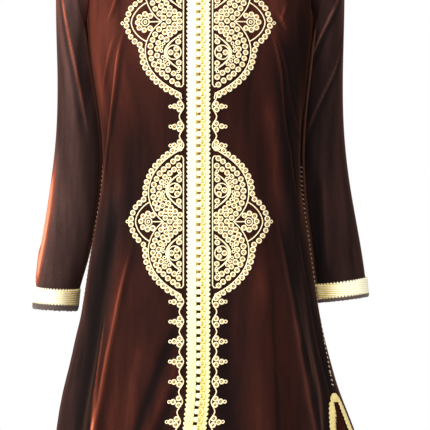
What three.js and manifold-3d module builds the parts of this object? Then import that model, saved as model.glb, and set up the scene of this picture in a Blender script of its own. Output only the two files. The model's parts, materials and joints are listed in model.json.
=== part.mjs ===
// A knee-length velvet tunic of North African cut, hollow and filled out as if worn: two fronts closed
// edge to edge by a row of knot buttons, a back, two long sleeves, side slits, and woven gold braid on the
// opening, cuffs and slits. Millimetres, +Z up, front towards -Y. The origin is between the shoulder
// points, where a wearer carries the garment. Left and right are the wearer's.
import * as THREE from "three";
import Module from "manifold-3d";

// Driving dimensions
const CLOTH = 2; // wall of the lined velvet
const SEAM_GAP = 0.3; // between pieces at a seam, and under what lies on a panel
const BRAID = 1.4; // thickness of the woven braid
const CHEST_Z = -250; // level of the underarm points
const SLIT_TOP_Z = -822;
const NECK_HALF_WIDTH = 78;
const FRONT_NECK_DROP = 92;
const BACK_NECK_DROP = 20;
const NECK_Y = { front: -58, back: 54 }; // middle of the neckline
const SHOULDER = { x: 182, y: 8, z: -48 }; // outer end of the shoulder seam
const SHOULDER_DROOP = 0.25; // share of the shoulder's fall that gathers towards the arm
const OPENING_X = -4; // the front opening, just beside the middle
const WIDE_BRAID_X = -17; // outer edge of the wide braid, on the right front
const NARROW_BRAID_X = [5.6, 16]; // edges of the narrow braid, on the left front
const SLIT_BRAID_WIDTH = 13;
const CUFF_BRAID_HEIGHT = 23;
const CUFF_EDGING = { height: 6, thickness: 3, proud: 0.5 }; // proud of the sleeve's face
const BUTTON = { pitch: 11.7, radius: 4.2, x: 0.8, rise: 5.4 };
const BUTTONS = 78;
const FIRST_BUTTON = 9; // below the neckline
const TRIM_GAP = 1; // between the opening and the braids beside it

const FINISHES = {
  velvet: { color: 0x4a2218, roughness: 0.9, metalness: 0 },
  gold: { color: 0xe8d490, roughness: 0.4, metalness: 0.6 },
  button: { color: 0xf0e2b0, roughness: 0.5, metalness: 0.3 },
  edging: { color: 0x3a241c, roughness: 0.9, metalness: 0 },
};

const radians = THREE.MathUtils.degToRad;
const smooth = (t) => THREE.MathUtils.smoothstep(t, 0, 1);
const vec = (x, y, z) => new THREE.Vector3(x, y, z);

// The value of a table's column at a place along its first column, smoothly joined from row to row.
function lookUp(table, column, place) {
  const key = Object.keys(table[0])[0];
  const last = table.length - 1;
  let row = 0;
  while (row < last - 1 && place > table[row + 1][key]) row++;
  const slope = (i) => {
    const low = table[Math.max(i - 1, 0)];
    const high = table[Math.min(i + 1, last)];
    return (high[column] - low[column]) / (high[key] - low[key]);
  };
  const [from, to] = [table[row], table[row + 1]];
  const span = to[key] - from[key];
  const t = THREE.MathUtils.clamp((place - from[key]) / span, 0, 1);
  const [h0, h1] = [(1 + 2 * t) * (1 - t) ** 2, t * (1 - t) ** 2 * span];
  const [h2, h3] = [t * t * (3 - 2 * t), t * t * (t - 1) * span];
  return h0 * from[column] + h1 * slope(row) + h2 * to[column] + h3 * slope(row + 1);
}

// Body sections from hem to underarm: half widths of the fronts and of the back on each side, which part
// below the slit top, and the depths before and behind the side seams.
const SECTIONS = [
  { z: -1060, frontLeft: 236, frontRight: 235, backLeft: 292, backRight: 236, before: 166, behind: 170 },
  { z: -960, frontLeft: 226, frontRight: 228, backLeft: 264, backRight: 226, before: 159, behind: 157 },
  { z: -882, frontLeft: 218, frontRight: 222, backLeft: 240, backRight: 219, before: 152, behind: 146 },
  { z: -822, frontLeft: 215, frontRight: 212, backLeft: 215, backRight: 212, before: 146, behind: 138 },
  { z: -790, frontLeft: 206, frontRight: 203, backLeft: 206, backRight: 203, before: 142, behind: 134 },
  { z: -746, frontLeft: 194, frontRight: 193, backLeft: 194, backRight: 193, before: 136, behind: 127 },
  { z: -680, frontLeft: 181, frontRight: 181, backLeft: 181, backRight: 181, before: 128, behind: 119 },
  { z: -612, frontLeft: 172, frontRight: 171, backLeft: 172, backRight: 171, before: 122, behind: 111 },
  { z: -550, frontLeft: 163, frontRight: 160, backLeft: 163, backRight: 160, before: 117, behind: 103 },
  { z: -500, frontLeft: 158, frontRight: 152, backLeft: 158, backRight: 152, before: 115, behind: 98 },
  { z: -450, frontLeft: 157, frontRight: 150, backLeft: 157, backRight: 150, before: 116, behind: 96 },
  { z: -400, frontLeft: 160, frontRight: 155, backLeft: 160, backRight: 155, before: 120, behind: 98 },
  { z: -352, frontLeft: 165, frontRight: 163, backLeft: 165, backRight: 163, before: 124, behind: 102 },
  { z: -300, frontLeft: 171, frontRight: 171, backLeft: 171, backRight: 171, before: 122, behind: 106 },
  { z: -250, frontLeft: 176, frontRight: 176, backLeft: 176, backRight: 176, before: 113, behind: 105 },
];

// Where the side seams and the front opening run: the left seam turns forward on its way down, the right
// seam turns back, and the opening sways to the right near the hem.
const LINES = [
  { z: -1060, leftSeam: 76, rightSeam: 101, sway: -19 },
  { z: -960, leftSeam: 75, rightSeam: 101, sway: -14 },
  { z: -867, leftSeam: 74, rightSeam: 100, sway: -6 },
  { z: -812, leftSeam: 75, rightSeam: 98, sway: -0.6 },
  { z: -760, leftSeam: 79, rightSeam: 96, sway: 0 },
  { z: -640, leftSeam: 87, rightSeam: 92, sway: 0 },
  { z: -540, leftSeam: 90, rightSeam: 90, sway: 0 },
];

// Folds of the body. Angles run from the middle of the front (0) over the wearer's left side (90) to the
// middle of the back (180). Each fold starts flat at its top, swells over "fade" and runs to its foot;
// spread is its half width in degrees, and relief is positive on a ridge and negative in a hollow.
const FOLDS = [
  { top: -268, topAngle: -43, foot: -520, footAngle: -80, spread: 8, relief: 6, fade: 60, ends: true },
  { top: -300, topAngle: -46, foot: -700, footAngle: -33, spread: 10, relief: -10, fade: 120, ends: true },
  { top: -540, topAngle: -38, foot: -1060, footAngle: -49, spread: 8, relief: 15, fade: 260 },
  { top: -450, topAngle: -20, foot: -1060, footAngle: -22, spread: 9, relief: 11, fade: 380 },
  { top: -600, topAngle: -30, foot: -1060, footAngle: -35, spread: 7, relief: -10, fade: 300 },
  { top: -600, topAngle: -60, foot: -1060, footAngle: -66, spread: 9, relief: -10, fade: 300 },
  { top: -266, topAngle: 37, foot: -690, footAngle: 76, spread: 8, relief: 7, fade: 80, ends: true },
  { top: -300, topAngle: 52, foot: -640, footAngle: 58, spread: 9, relief: -9, fade: 120, ends: true },
  { top: -500, topAngle: 46, foot: -1060, footAngle: 56, spread: 7, relief: 14, fade: 260 },
  { top: -380, topAngle: 30, foot: -1060, footAngle: 28, spread: 10, relief: 12, fade: 320 },
  { top: -540, topAngle: 40, foot: -1060, footAngle: 41, spread: 6, relief: -10, fade: 260 },
  { top: -560, topAngle: 66, foot: -1060, footAngle: 64, spread: 8, relief: -12, fade: 270 },
  { top: -330, topAngle: 158, foot: -1060, footAngle: 160, spread: 12, relief: 15, fade: 460 },
  { top: -320, topAngle: 181, foot: -1060, footAngle: 184, spread: 10, relief: -12, fade: 420 },
  { top: -310, topAngle: 204, foot: -1060, footAngle: 209, spread: 11, relief: 16, fade: 480 },
  { top: -400, topAngle: 134, foot: -1060, footAngle: 132, spread: 9, relief: -12, fade: 380 },
  { top: -300, topAngle: 226, foot: -1060, footAngle: 230, spread: 9, relief: -10, fade: 400 },
  { top: -420, topAngle: 112, foot: -1060, footAngle: 110, spread: 10, relief: 12, fade: 420 },
  { top: -380, topAngle: 246, foot: -1060, footAngle: 251, spread: 9, relief: 12, fade: 420 },
];

// How far the folds move the cloth out at an angle and a height.
function foldRelief(angle, z) {
  let out = 0;
  for (const fold of FOLDS) {
    if (z > fold.top) continue;
    const way = Math.min((fold.top - z) / (fold.top - fold.foot), 1);
    const middle = THREE.MathUtils.lerp(fold.topAngle, fold.footAngle, way);
    const swell = smooth((fold.top - z) / fold.fade) * (fold.ends ? 1 - smooth(way) : 1);
    out += fold.relief * swell * Math.exp(-(((angle - middle) / fold.spread) ** 2));
  }
  return out;
}

// The half width of a panel's section at a height, on the left (side 1) or the right (side -1).
function halfWidth(z, half, side) {
  return lookUp(SECTIONS, half + (side < 0 ? "Right" : "Left"), z);
}

// A point of the body's outer face at an angle and a height between hem and underarm.
function bodyPoint(angle, z, half) {
  const [s, c] = [Math.sin(radians(angle)), Math.cos(radians(angle))];
  const width = halfWidth(z, half, Math.sign(s));
  const depth = lookUp(SECTIONS, c > 0 ? "before" : "behind", z);
  const radial = vec(s / width, -c / depth, 0).normalize();
  return vec(width * s, -depth * c, z).addScaledVector(radial, foldRelief(angle, z));
}

// The angle of a panel's column at a height. A column stated by x keeps its distance from the opening, and
// one stated by an angle shares in the turn of the side seam on its side.
function columnAngle(column, z) {
  if (column.x !== undefined) {
    const x = column.x + lookUp(LINES, "sway", z);
    return THREE.MathUtils.radToDeg(Math.asin(x / halfWidth(z, "front", Math.sign(x))));
  }
  const onRight = column.angle < 0 || column.angle > 180;
  const fromFront = onRight ? 360 - THREE.MathUtils.euclideanModulo(column.angle, 360) : column.angle;
  const seam = lookUp(LINES, onRight ? "rightSeam" : "leftSeam", z);
  const turned = column.back ? 180 - ((180 - fromFront) * (180 - seam)) / 90 : (fromFront * seam) / 90;
  if (!onRight) return turned;
  return column.back ? 360 - turned : -turned;
}

// Above the underarm each column of a panel is one Bezier curve, from the chest line to the neckline or the
// shoulder seam. The offsets give its two inner control points, by the column's share of the quarter turn.
const NECK_SHARE = 0.4;
const FRONT_RISE = [
  { share: 0, upX: 0, upY: 2, upZ: 55, downX: 0, downY: -22, downZ: -45 },
  { share: 0.2, upX: 0, upY: 0, upZ: 75, downX: 2, downY: -34, downZ: -34 },
  { share: 0.4, upX: -2, upY: 0, upZ: 110, downX: 2, downY: -62, downZ: -24 },
  { share: 0.7, upX: -6, upY: -4, upZ: 95, downX: 2, downY: -62, downZ: -34 },
  { share: 1, upX: -14, upY: -48, upZ: 40, downX: -12, downY: -56, downZ: -52 },
];
const BACK_RISE = [
  { share: 0, upX: 0, upY: 6, upZ: 110, downX: 0, downY: 26, downZ: -50 },
  { share: 0.2, upX: 0, upY: 6, upZ: 110, downX: 2, downY: 34, downZ: -44 },
  { share: 0.4, upX: -2, upY: 6, upZ: 115, downX: 2, downY: 56, downZ: -28 },
  { share: 0.7, upX: -6, upY: 6, upZ: 95, downX: 2, downY: 58, downZ: -34 },
  { share: 1, upX: -20, upY: 46, upZ: 40, downX: -12, downY: 50, downZ: -50 },
];

// The upper end of a column: on the neckline up to NECK_SHARE, then on the shoulder seam.
function topPoint(share, half) {
  const front = half === "front";
  if (share < NECK_SHARE) {
    const turn = radians((90 * share) / NECK_SHARE);
    const drop = front ? FRONT_NECK_DROP : BACK_NECK_DROP;
    const middleY = front ? NECK_Y.front : NECK_Y.back;
    const y = THREE.MathUtils.lerp(SHOULDER.y, middleY, Math.cos(turn));
    return vec(NECK_HALF_WIDTH * Math.sin(turn), y, -drop * Math.cos(turn));
  }
  const along = (share - NECK_SHARE) / (1 - NECK_SHARE);
  const x = THREE.MathUtils.lerp(NECK_HALF_WIDTH, SHOULDER.x, along);
  const slope = (1 - SHOULDER_DROOP) * along + SHOULDER_DROOP * along * along;
  return vec(x, SHOULDER.y, SHOULDER.z * slope);
}

// A point above the chest line: "rise" is 0 there and 1 at the neckline or shoulder.
function upperPoint(angle, rise, half) {
  const side = Math.sin(radians(angle)) < 0 ? -1 : 1;
  const fromMiddle = half === "front" ? Math.abs(angle) : Math.abs(180 - angle);
  const share = fromMiddle / 90;
  const foot = bodyPoint(angle, CHEST_Z, half);
  const head = topPoint(share, half);
  head.x *= side;
  const table = half === "front" ? FRONT_RISE : BACK_RISE;
  const value = (column) => lookUp(table, column, share);
  const low = foot.clone().add(vec(side * value("upX"), value("upY"), value("upZ")));
  const high = head.clone().add(vec(side * value("downX"), value("downY"), value("downZ")));
  return new THREE.CubicBezierCurve3(foot, low, high, head).getPoint(rise);
}

// Heights of the rows below the chest line, and how far up each row above it lies.
const LOWER_ROWS = [-1060, -1010, -965, -920, -876, SLIT_TOP_Z, -790, -745, -700, -655, -610, -565, -520,
  -475, -430, -385, -340, -295, CHEST_Z];
const UPPER_COUNT = 10;
const SLIT_ROW = LOWER_ROWS.indexOf(SLIT_TOP_Z);
const CHEST_ROW = LOWER_ROWS.length - 1;

// The outer face of one panel: rows of points from hem to top, along columns named by an angle or an x.
// Columns run anticlockwise seen from above, so that rows crossed with columns point out.
function panelGrid(columns, half) {
  const rows = LOWER_ROWS.map((z) => columns.map((column) => bodyPoint(columnAngle(column, z), z, half)));
  for (let step = 1; step <= UPPER_COUNT; step++) {
    rows.push(columns.map((column) => {
      const point = upperPoint(columnAngle(column, CHEST_Z), step / UPPER_COUNT, half);
      if (column.x !== undefined) point.x = column.x;
      return point;
    }));
  }
  return rows;
}

// Outward unit normals of a grid of points.
function gridNormals(grid, closed = false) {
  const [rows, columns] = [grid.length, grid[0].length];
  const near = (j) => (closed ? (j + columns) % columns : THREE.MathUtils.clamp(j, 0, columns - 1));
  return grid.map((row, i) => row.map((point, j) => {
    const along = row[near(j + 1)].clone().sub(row[near(j - 1)]);
    const up = grid[Math.min(i + 1, rows - 1)][j].clone().sub(grid[Math.max(i - 1, 0)][j]);
    return along.cross(up).normalize();
  }));
}

const moved = (grid, normals, distance) =>
  grid.map((row, i) => row.map((point, j) => point.clone().addScaledVector(normals[i][j], distance)));

// A closed solid between an outer grid and an inner grid, open or closed round its rows.
function solidBetween(outer, inner, closed = false) {
  const [rows, columns] = [outer.length, outer[0].length];
  const points = [...outer.flat(), ...inner.flat()];
  const innerStart = rows * columns;
  const index = (i, j) => i * columns + (j % columns);
  const faces = [];
  const quad = (a, b, c, d) => faces.push([a, b, c], [a, c, d]);
  const spans = closed ? columns : columns - 1;
  for (let i = 0; i < rows - 1; i++) {
    for (let j = 0; j < spans; j++) {
      const corners = [index(i, j), index(i, j + 1), index(i + 1, j + 1), index(i + 1, j)];
      quad(...corners);
      const [a, b, c, d] = corners.map((n) => n + innerStart);
      faces.push([a, c, b], [a, d, c]);
    }
  }
  const rim = (a, b) => quad(b, a, a + innerStart, b + innerStart);
  for (let j = 0; j < spans; j++) {
    rim(index(0, j), index(0, j + 1));
    rim(index(rows - 1, j + 1), index(rows - 1, j));
  }
  for (let i = 0; !closed && i < rows - 1; i++) {
    rim(index(i + 1, 0), index(i, 0));
    rim(index(i, columns - 1), index(i + 1, columns - 1));
  }
  const geometry = new THREE.BufferGeometry().setFromPoints(points);
  geometry.setIndex(faces.flat());
  return geometry;
}

const group = new THREE.Group();
function addPiece(name, geometry, finish) {
  geometry.computeVertexNormals();
  const mesh = new THREE.Mesh(geometry, new THREE.MeshStandardMaterial(finish));
  mesh.name = name;
  group.add(mesh);
}

// Fronts and back
const SLIT_DEPTH = 150; // mean depth of the sections beside the slits
const slitBraidAngle = 90 - THREE.MathUtils.radToDeg(SLIT_BRAID_WIDTH / SLIT_DEPTH);
const quarterColumns = [12, 18, 24, 30, 36, 42, 48, 54, 60, 66, 72, 78, slitBraidAngle, 90];
const leftColumns = [OPENING_X, ...NARROW_BRAID_X].map((x) => ({ x }))
  .concat(quarterColumns.map((angle) => ({ angle })));
const rightColumns = quarterColumns.map((angle) => ({ angle: -angle })).reverse()
  .concat([{ x: WIDE_BRAID_X }, { x: OPENING_X }]);
const backAngles = [90, 180 - slitBraidAngle, 102, 110, 118, 126, 135, 144, 153, 162, 171];
const backColumns = backAngles.concat(180, backAngles.map((angle) => 360 - angle).reverse())
  .map((angle) => ({ angle, back: true }));

const leftGrid = panelGrid(leftColumns, "front");
const rightGrid = panelGrid(rightColumns, "front");
const backGrid = panelGrid(backColumns, "back");
const normalsOf = new Map([leftGrid, rightGrid, backGrid].map((grid) => [grid, gridNormals(grid)]));

// Seams: each edge is held in the plane of its seam and drawn back by half the gap, so that the two walls
// that meet there never touch. "away" is the way from the seam into the panel.
function holdEdge(grid, cells, axis, away) {
  const normals = normalsOf.get(grid);
  for (const [i, j] of cells) {
    grid[i][j][axis] += (away * SEAM_GAP) / 2;
    normals[i][j][axis] = 0;
    normals[i][j].normalize();
  }
}
const topRow = leftGrid.length - 1;
const allRows = leftGrid.map((_, i) => i);
const bodyRows = allRows.filter((i) => i <= CHEST_ROW);
const armRows = allRows.filter((i) => i >= CHEST_ROW);

// At the armhole the wall's thickness points to the middle of the armhole, in a plane across X.
function holdArmhole(grid, column, side) {
  const normals = normalsOf.get(grid);
  const middle = vec(0, SHOULDER.y / 2, (CHEST_Z + SHOULDER.z) / 2);
  for (const i of armRows) {
    const outward = grid[i][column].clone().sub(middle);
    normals[i][column].set(0, outward.y, outward.z).normalize();
    if (i === topRow) normals[i][column].set(0, 0, 1);
    if (i === CHEST_ROW) normals[i][column].set(0, 0, -1);
    grid[i][column].x -= (side * SEAM_GAP) / 2;
  }
}
const lastOf = (grid) => grid[0].length - 1;
const columnOf = (grid, column) => grid.map((row) => row[column].clone());
const armholes = {
  left: { front: columnOf(leftGrid, lastOf(leftGrid)), back: columnOf(backGrid, 0) },
  right: { front: columnOf(rightGrid, 0), back: columnOf(backGrid, lastOf(backGrid)) },
};
holdEdge(leftGrid, allRows.map((i) => [i, 0]), "x", 1);
holdEdge(rightGrid, allRows.map((i) => [i, lastOf(rightGrid)]), "x", -1);
holdEdge(leftGrid, bodyRows.map((i) => [i, lastOf(leftGrid)]), "y", -1);
holdEdge(rightGrid, bodyRows.map((i) => [i, 0]), "y", -1);
holdEdge(backGrid, bodyRows.flatMap((i) => [[i, 0], [i, lastOf(backGrid)]]), "y", 1);
const shoulderTurn = 90 * NECK_SHARE;
const turnFrom = ({ angle }, middle) => (angle === undefined ? 0 : Math.abs(Math.abs(angle) - middle));
const shoulderCells = (columns, middle) => columns
  .map((column, j) => [topRow, j, turnFrom(column, middle)])
  .filter(([, , turn]) => Math.round(turn) >= shoulderTurn);
holdEdge(leftGrid, shoulderCells(leftColumns, 0), "y", -1);
holdEdge(rightGrid, shoulderCells(rightColumns, 0), "y", -1);
holdEdge(backGrid, shoulderCells(backColumns, 180), "y", 1);
holdArmhole(leftGrid, lastOf(leftGrid), 1);
holdArmhole(rightGrid, 0, -1);
holdArmhole(backGrid, 0, 1);
holdArmhole(backGrid, lastOf(backGrid), -1);

const clothWall = (grid, normals, closed) => solidBetween(grid, moved(grid, normals, -CLOTH), closed);
addPiece("front_left", clothWall(leftGrid, normalsOf.get(leftGrid)), FINISHES.velvet);
addPiece("front_right", clothWall(rightGrid, normalsOf.get(rightGrid)), FINISHES.velvet);
addPiece("back", clothWall(backGrid, normalsOf.get(backGrid)), FINISHES.velvet);

// Sleeves: each ring stands between its inner point, beside the body, and its outer point. "depth" is half
// its size from front to back and "middle" the y of its middle. The last rows carry the cuff braid.
const SLEEVE_TOP = [
  { innerX: 180, innerZ: -258, outerX: 198, outerZ: -56, depth: 56, middle: 4 },
  { innerX: 179, innerZ: -264, outerX: 212, outerZ: -76, depth: 58, middle: 6 },
  { innerX: 170, innerZ: -272, outerX: 220, outerZ: -112, depth: 58, middle: 11 },
  { innerX: 164, innerZ: -286, outerX: 225, outerZ: -165, depth: 58, middle: 14 },
  { innerX: 160, innerZ: -308, outerX: 226, outerZ: -228, depth: 57, middle: 16 },
];
const SLEEVE_LOW = {
  left: [
    { innerX: 156, innerZ: -345, outerX: 224.5, outerZ: -290, depth: 56, middle: 17 },
    { innerX: 148, innerZ: -387, outerX: 224, outerZ: -348, depth: 54, middle: 19 },
    { innerX: 142, innerZ: -430, outerX: 225, outerZ: -402, depth: 52, middle: 21 },
    { innerX: 142, innerZ: -475, outerX: 229, outerZ: -456, depth: 50, middle: 22 },
    { innerX: 146, innerZ: -522, outerX: 236, outerZ: -508, depth: 47, middle: 22 },
    { innerX: 152, innerZ: -570, outerX: 245, outerZ: -558, depth: 44, middle: 22 },
    { innerX: 160, innerZ: -615, outerX: 253, outerZ: -603, depth: 41, middle: 21 },
    { innerX: 171, innerZ: -655, outerX: 258.5, outerZ: -644, depth: 39, middle: 18 },
    { innerX: 177, innerZ: -680, outerX: 261, outerZ: -670, depth: 38, middle: 17 },
  ],
  right: [
    { innerX: 156, innerZ: -345, outerX: 224, outerZ: -292, depth: 57, middle: 17 },
    { innerX: 149, innerZ: -388, outerX: 223.5, outerZ: -352, depth: 56, middle: 18 },
    { innerX: 143, innerZ: -432, outerX: 224.5, outerZ: -408, depth: 54, middle: 19 },
    { innerX: 144, innerZ: -478, outerX: 229, outerZ: -464, depth: 52, middle: 18 },
    { innerX: 150, innerZ: -526, outerX: 235.5, outerZ: -518, depth: 49, middle: 16 },
    { innerX: 157, innerZ: -576, outerX: 243.5, outerZ: -570, depth: 46, middle: 14 },
    { innerX: 172, innerZ: -624, outerX: 251.5, outerZ: -618, depth: 43, middle: 9 },
    { innerX: 187.5, innerZ: -664, outerX: 254, outerZ: -661, depth: 41, middle: 5 },
    { innerX: 190, innerZ: -688, outerX: 258, outerZ: -684, depth: 40, middle: 5 },
  ],
};

// Creases of the sleeves, along a line from one ring and turn to another. Turns run from the outer edge (0)
// over the back (90) and the side by the body (180) to the front (270).
const SLEEVE_CREASES = [
  { ring: 1, turn: 318, lastRing: 8, lastTurn: 236, spread: 20, relief: 5 },
  { ring: 2, turn: 285, lastRing: 9, lastTurn: 215, spread: 16, relief: -4 },
  { ring: 5, turn: 340, lastRing: 12, lastTurn: 262, spread: 20, relief: -3.5 },
  { ring: 6, turn: 20, lastRing: 13, lastTurn: 330, spread: 22, relief: 3 },
  { ring: 2, turn: 70, lastRing: 9, lastTurn: 130, spread: 22, relief: 5 },
  { ring: 5, turn: 45, lastRing: 12, lastTurn: 105, spread: 18, relief: -4 },
];

function creaseRelief(ring, turn) {
  let out = 0;
  for (const crease of SLEEVE_CREASES) {
    const way = (ring - crease.ring) / (crease.lastRing - crease.ring);
    if (way <= 0 || way >= 1) continue;
    const middle = THREE.MathUtils.lerp(crease.turn, crease.lastTurn, way);
    const apart = THREE.MathUtils.euclideanModulo(turn - middle + 180, 360) - 180;
    out += crease.relief * Math.sin(Math.PI * way) * Math.exp(-((apart / crease.spread) ** 2));
  }
  return out;
}

// Moves a sleeve point out of the body, to CLEARANCE from its face behind the side seam and straight
// beside it in front.
const CLEARANCE = 3;
function clearOfBody(point, side) {
  if (point.z > CHEST_Z) return;
  const width = halfWidth(point.z, "front", side);
  const depth = lookUp(SECTIONS, point.y < 0 ? "before" : "behind", point.z);
  const angle = THREE.MathUtils.radToDeg(Math.atan2((side * point.x) / width, -point.y / depth));
  const relief = foldRelief(THREE.MathUtils.euclideanModulo(angle + 90, 360) - 90, point.z);
  const reach = CLEARANCE + Math.max(relief, 0);
  const [wide, deep] = [width + reach, depth + reach];
  const behind = THREE.MathUtils.clamp(point.y / deep, 0, 1);
  point.x = Math.max(point.x, wide * Math.sqrt(1 - behind ** 2));
}

// The rings of a sleeve from armhole to cuff, made on the wearer's left and mirrored for the right.
function sleeveRings(side) {
  const { front, back } = armholes[side];
  const sign = side === "left" ? 1 : -1;
  const armhole = [];
  for (let i = topRow; i > CHEST_ROW; i--) armhole.push(back[i]);
  for (let i = CHEST_ROW; i < topRow; i++) armhole.push(front[i]);
  const first = armhole.map((p) => vec(sign * p.x + SEAM_GAP / 2, p.y, p.z));
  const count = first.length;
  const rings = [...SLEEVE_TOP, ...SLEEVE_LOW[side]].map((ring, k) => first.map((_, j) => {
    const turn = (360 * j) / count;
    const [inner, outer] = [vec(ring.innerX, 0, ring.innerZ), vec(ring.outerX, 0, ring.outerZ)];
    const reach = outer.clone().sub(inner).multiplyScalar(0.5);
    const crease = 1 + creaseRelief(k, turn) / ((reach.length() + ring.depth) / 2);
    const point = inner.add(reach)
      .addScaledVector(reach, crease * Math.cos(radians(turn)))
      .add(vec(0, ring.middle + crease * ring.depth * Math.sin(radians(turn)), 0));
    clearOfBody(point, sign);
    return point;
  }));
  return [first, ...rings];
}

// Rows of a tube must climb and run anticlockwise seen from above, on both sides of the body.
const upright = (rings, side) => rings.slice().reverse()
  .map((ring) => (side === "left" ? ring : ring.map((p) => vec(-p.x, p.y, p.z)).reverse()));

for (const side of ["left", "right"]) {
  const rings = sleeveRings(side);
  const grid = upright(rings, side);
  const normals = gridNormals(grid, true);
  const top = grid.length - 1;
  const middle = vec(0, SHOULDER.y / 2, (CHEST_Z + SHOULDER.z) / 2);
  normals[top] = grid[top].map((p) => vec(0, p.y - middle.y, p.z - middle.z).normalize());
  const highest = grid[top].reduce((best, p, j) => (p.z > grid[top][best].z ? j : best), 0);
  const lowest = grid[top].reduce((best, p, j) => (p.z < grid[top][best].z ? j : best), 0);
  normals[top][highest].set(0, 0, 1);
  normals[top][lowest].set(0, 0, -1);
  addPiece(`sleeve_${side}`, clothWall(grid, normals, true), FINISHES.velvet);

  // The braid round the cuff lies on the last row of the sleeve, and the crocheted edging hangs below it.
  const share = 1 - CUFF_BRAID_HEIGHT / grid[0][0].distanceTo(grid[1][0]);
  const low = grid[0].map((p, j) => p.clone().addScaledVector(normals[0][j], SEAM_GAP));
  const high = grid[1].map((p, j) => {
    const edge = p.clone().lerp(grid[0][j], share);
    return edge.addScaledVector(normals[0][j], SEAM_GAP);
  });
  const braid = [low, high];
  const braidNormals = [normals[0], normals[0]];
  const braidSolid = solidBetween(moved(braid, braidNormals, BRAID), braid, true);
  addPiece(`cuff_braid_${side}`, braidSolid, FINISHES.gold);
  const down = (distance, out) => grid[0].map((p, j) => {
    const fall = p.clone().sub(grid[1][j]).normalize();
    return p.clone().addScaledVector(fall, distance).addScaledVector(normals[0][j], out);
  });
  const edging = (out) => [down(SEAM_GAP + CUFF_EDGING.height, out), down(SEAM_GAP, out)];
  const outerEdging = edging(CUFF_EDGING.proud);
  const innerEdging = edging(CUFF_EDGING.proud - CUFF_EDGING.thickness);
  addPiece(`cuff_edging_${side}`, solidBetween(outerEdging, innerEdging, true), FINISHES.edging);
}

// A strip of braid over a panel's own columns, from one row to another. "from" and "to" are places between
// the panel's columns, such as 1.5, half way from column 1 to column 2.
function between(grid, i, place) {
  const j = Math.min(Math.floor(place), grid[0].length - 2);
  return grid[i][j].clone().lerp(grid[i][j + 1], place - j);
}
function braidStrip(grid, rows, from, to) {
  const normals = normalsOf.get(grid);
  const places = [from, (from + to) / 2, to];
  const base = rows.map((i) => places.map((place) => between(grid, i, place)));
  const out = rows.map((i) => places.map((place) => between(normals, i, place).normalize()));
  const low = moved(base, out, SEAM_GAP);
  const high = moved(base, out, SEAM_GAP + BRAID);
  return solidBetween(high, low);
}
const wideShare = TRIM_GAP / (OPENING_X - WIDE_BRAID_X);
const narrowShare = TRIM_GAP / 2 / (NARROW_BRAID_X[1] - NARROW_BRAID_X[0]);
const [wideFrom, wideTo] = [lastOf(rightGrid) - 1, lastOf(rightGrid) - wideShare];
addPiece("placket_braid_wide", braidStrip(rightGrid, allRows, wideFrom, wideTo), FINISHES.gold);
addPiece("placket_braid_narrow", braidStrip(leftGrid, allRows, 1 + narrowShare, 2), FINISHES.gold);

// Slit braid: an upside-down V on each side, up the front's edge and down the back's, in two strips that
// meet above the slit's end.
const slitRows = allRows.slice(0, SLIT_ROW + 1);
const slitStrips = {
  slit_braid_front_left: [leftGrid, lastOf(leftGrid) - 1, lastOf(leftGrid)],
  slit_braid_front_right: [rightGrid, 0, 1],
  slit_braid_back_left: [backGrid, 0, 1],
  slit_braid_back_right: [backGrid, lastOf(backGrid) - 1, lastOf(backGrid)],
};
for (const [name, [grid, from, to]] of Object.entries(slitStrips)) {
  addPiece(name, braidStrip(grid, slitRows, from, to), FINISHES.gold);
}

// Knot buttons: a row of domes on the strip of loops beside the opening, in three lengths.
const wasm = await Module();
wasm.setup();
function toSolid(geometry) {
  return new wasm.Manifold(new wasm.Mesh({
    numProp: 3,
    vertProperties: geometry.getAttribute("position").array,
    triVerts: new Uint32Array(geometry.index.array),
  }));
}
function toGeometry(solid) {
  const mesh = solid.getMesh();
  const geometry = new THREE.BufferGeometry();
  geometry.setAttribute("position", new THREE.BufferAttribute(mesh.vertProperties, 3));
  geometry.setIndex(new THREE.BufferAttribute(mesh.triVerts, 1));
  return geometry;
}

// The middle line of the button row, top to bottom, with its outward direction.
const buttonPlace = (BUTTON.x - OPENING_X) / (NARROW_BRAID_X[0] - OPENING_X);
const rowsDown = allRows.slice().reverse();
const buttonLine = rowsDown.map((i) => between(leftGrid, i, buttonPlace));
const buttonOut = rowsDown.map((i) => between(normalsOf.get(leftGrid), i, buttonPlace).normalize());
function alongButtons(distance) {
  let left = distance;
  let i = 0;
  while (i < buttonLine.length - 2 && left > buttonLine[i].distanceTo(buttonLine[i + 1])) {
    left -= buttonLine[i].distanceTo(buttonLine[i + 1]);
    i++;
  }
  const share = left / buttonLine[i].distanceTo(buttonLine[i + 1]);
  const place = buttonLine[i].clone().lerp(buttonLine[i + 1], share);
  const out = buttonOut[i].clone().lerp(buttonOut[i + 1], share).normalize();
  const down = buttonLine[i + 1].clone().sub(buttonLine[i]).normalize();
  return { place, out, down };
}

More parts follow.
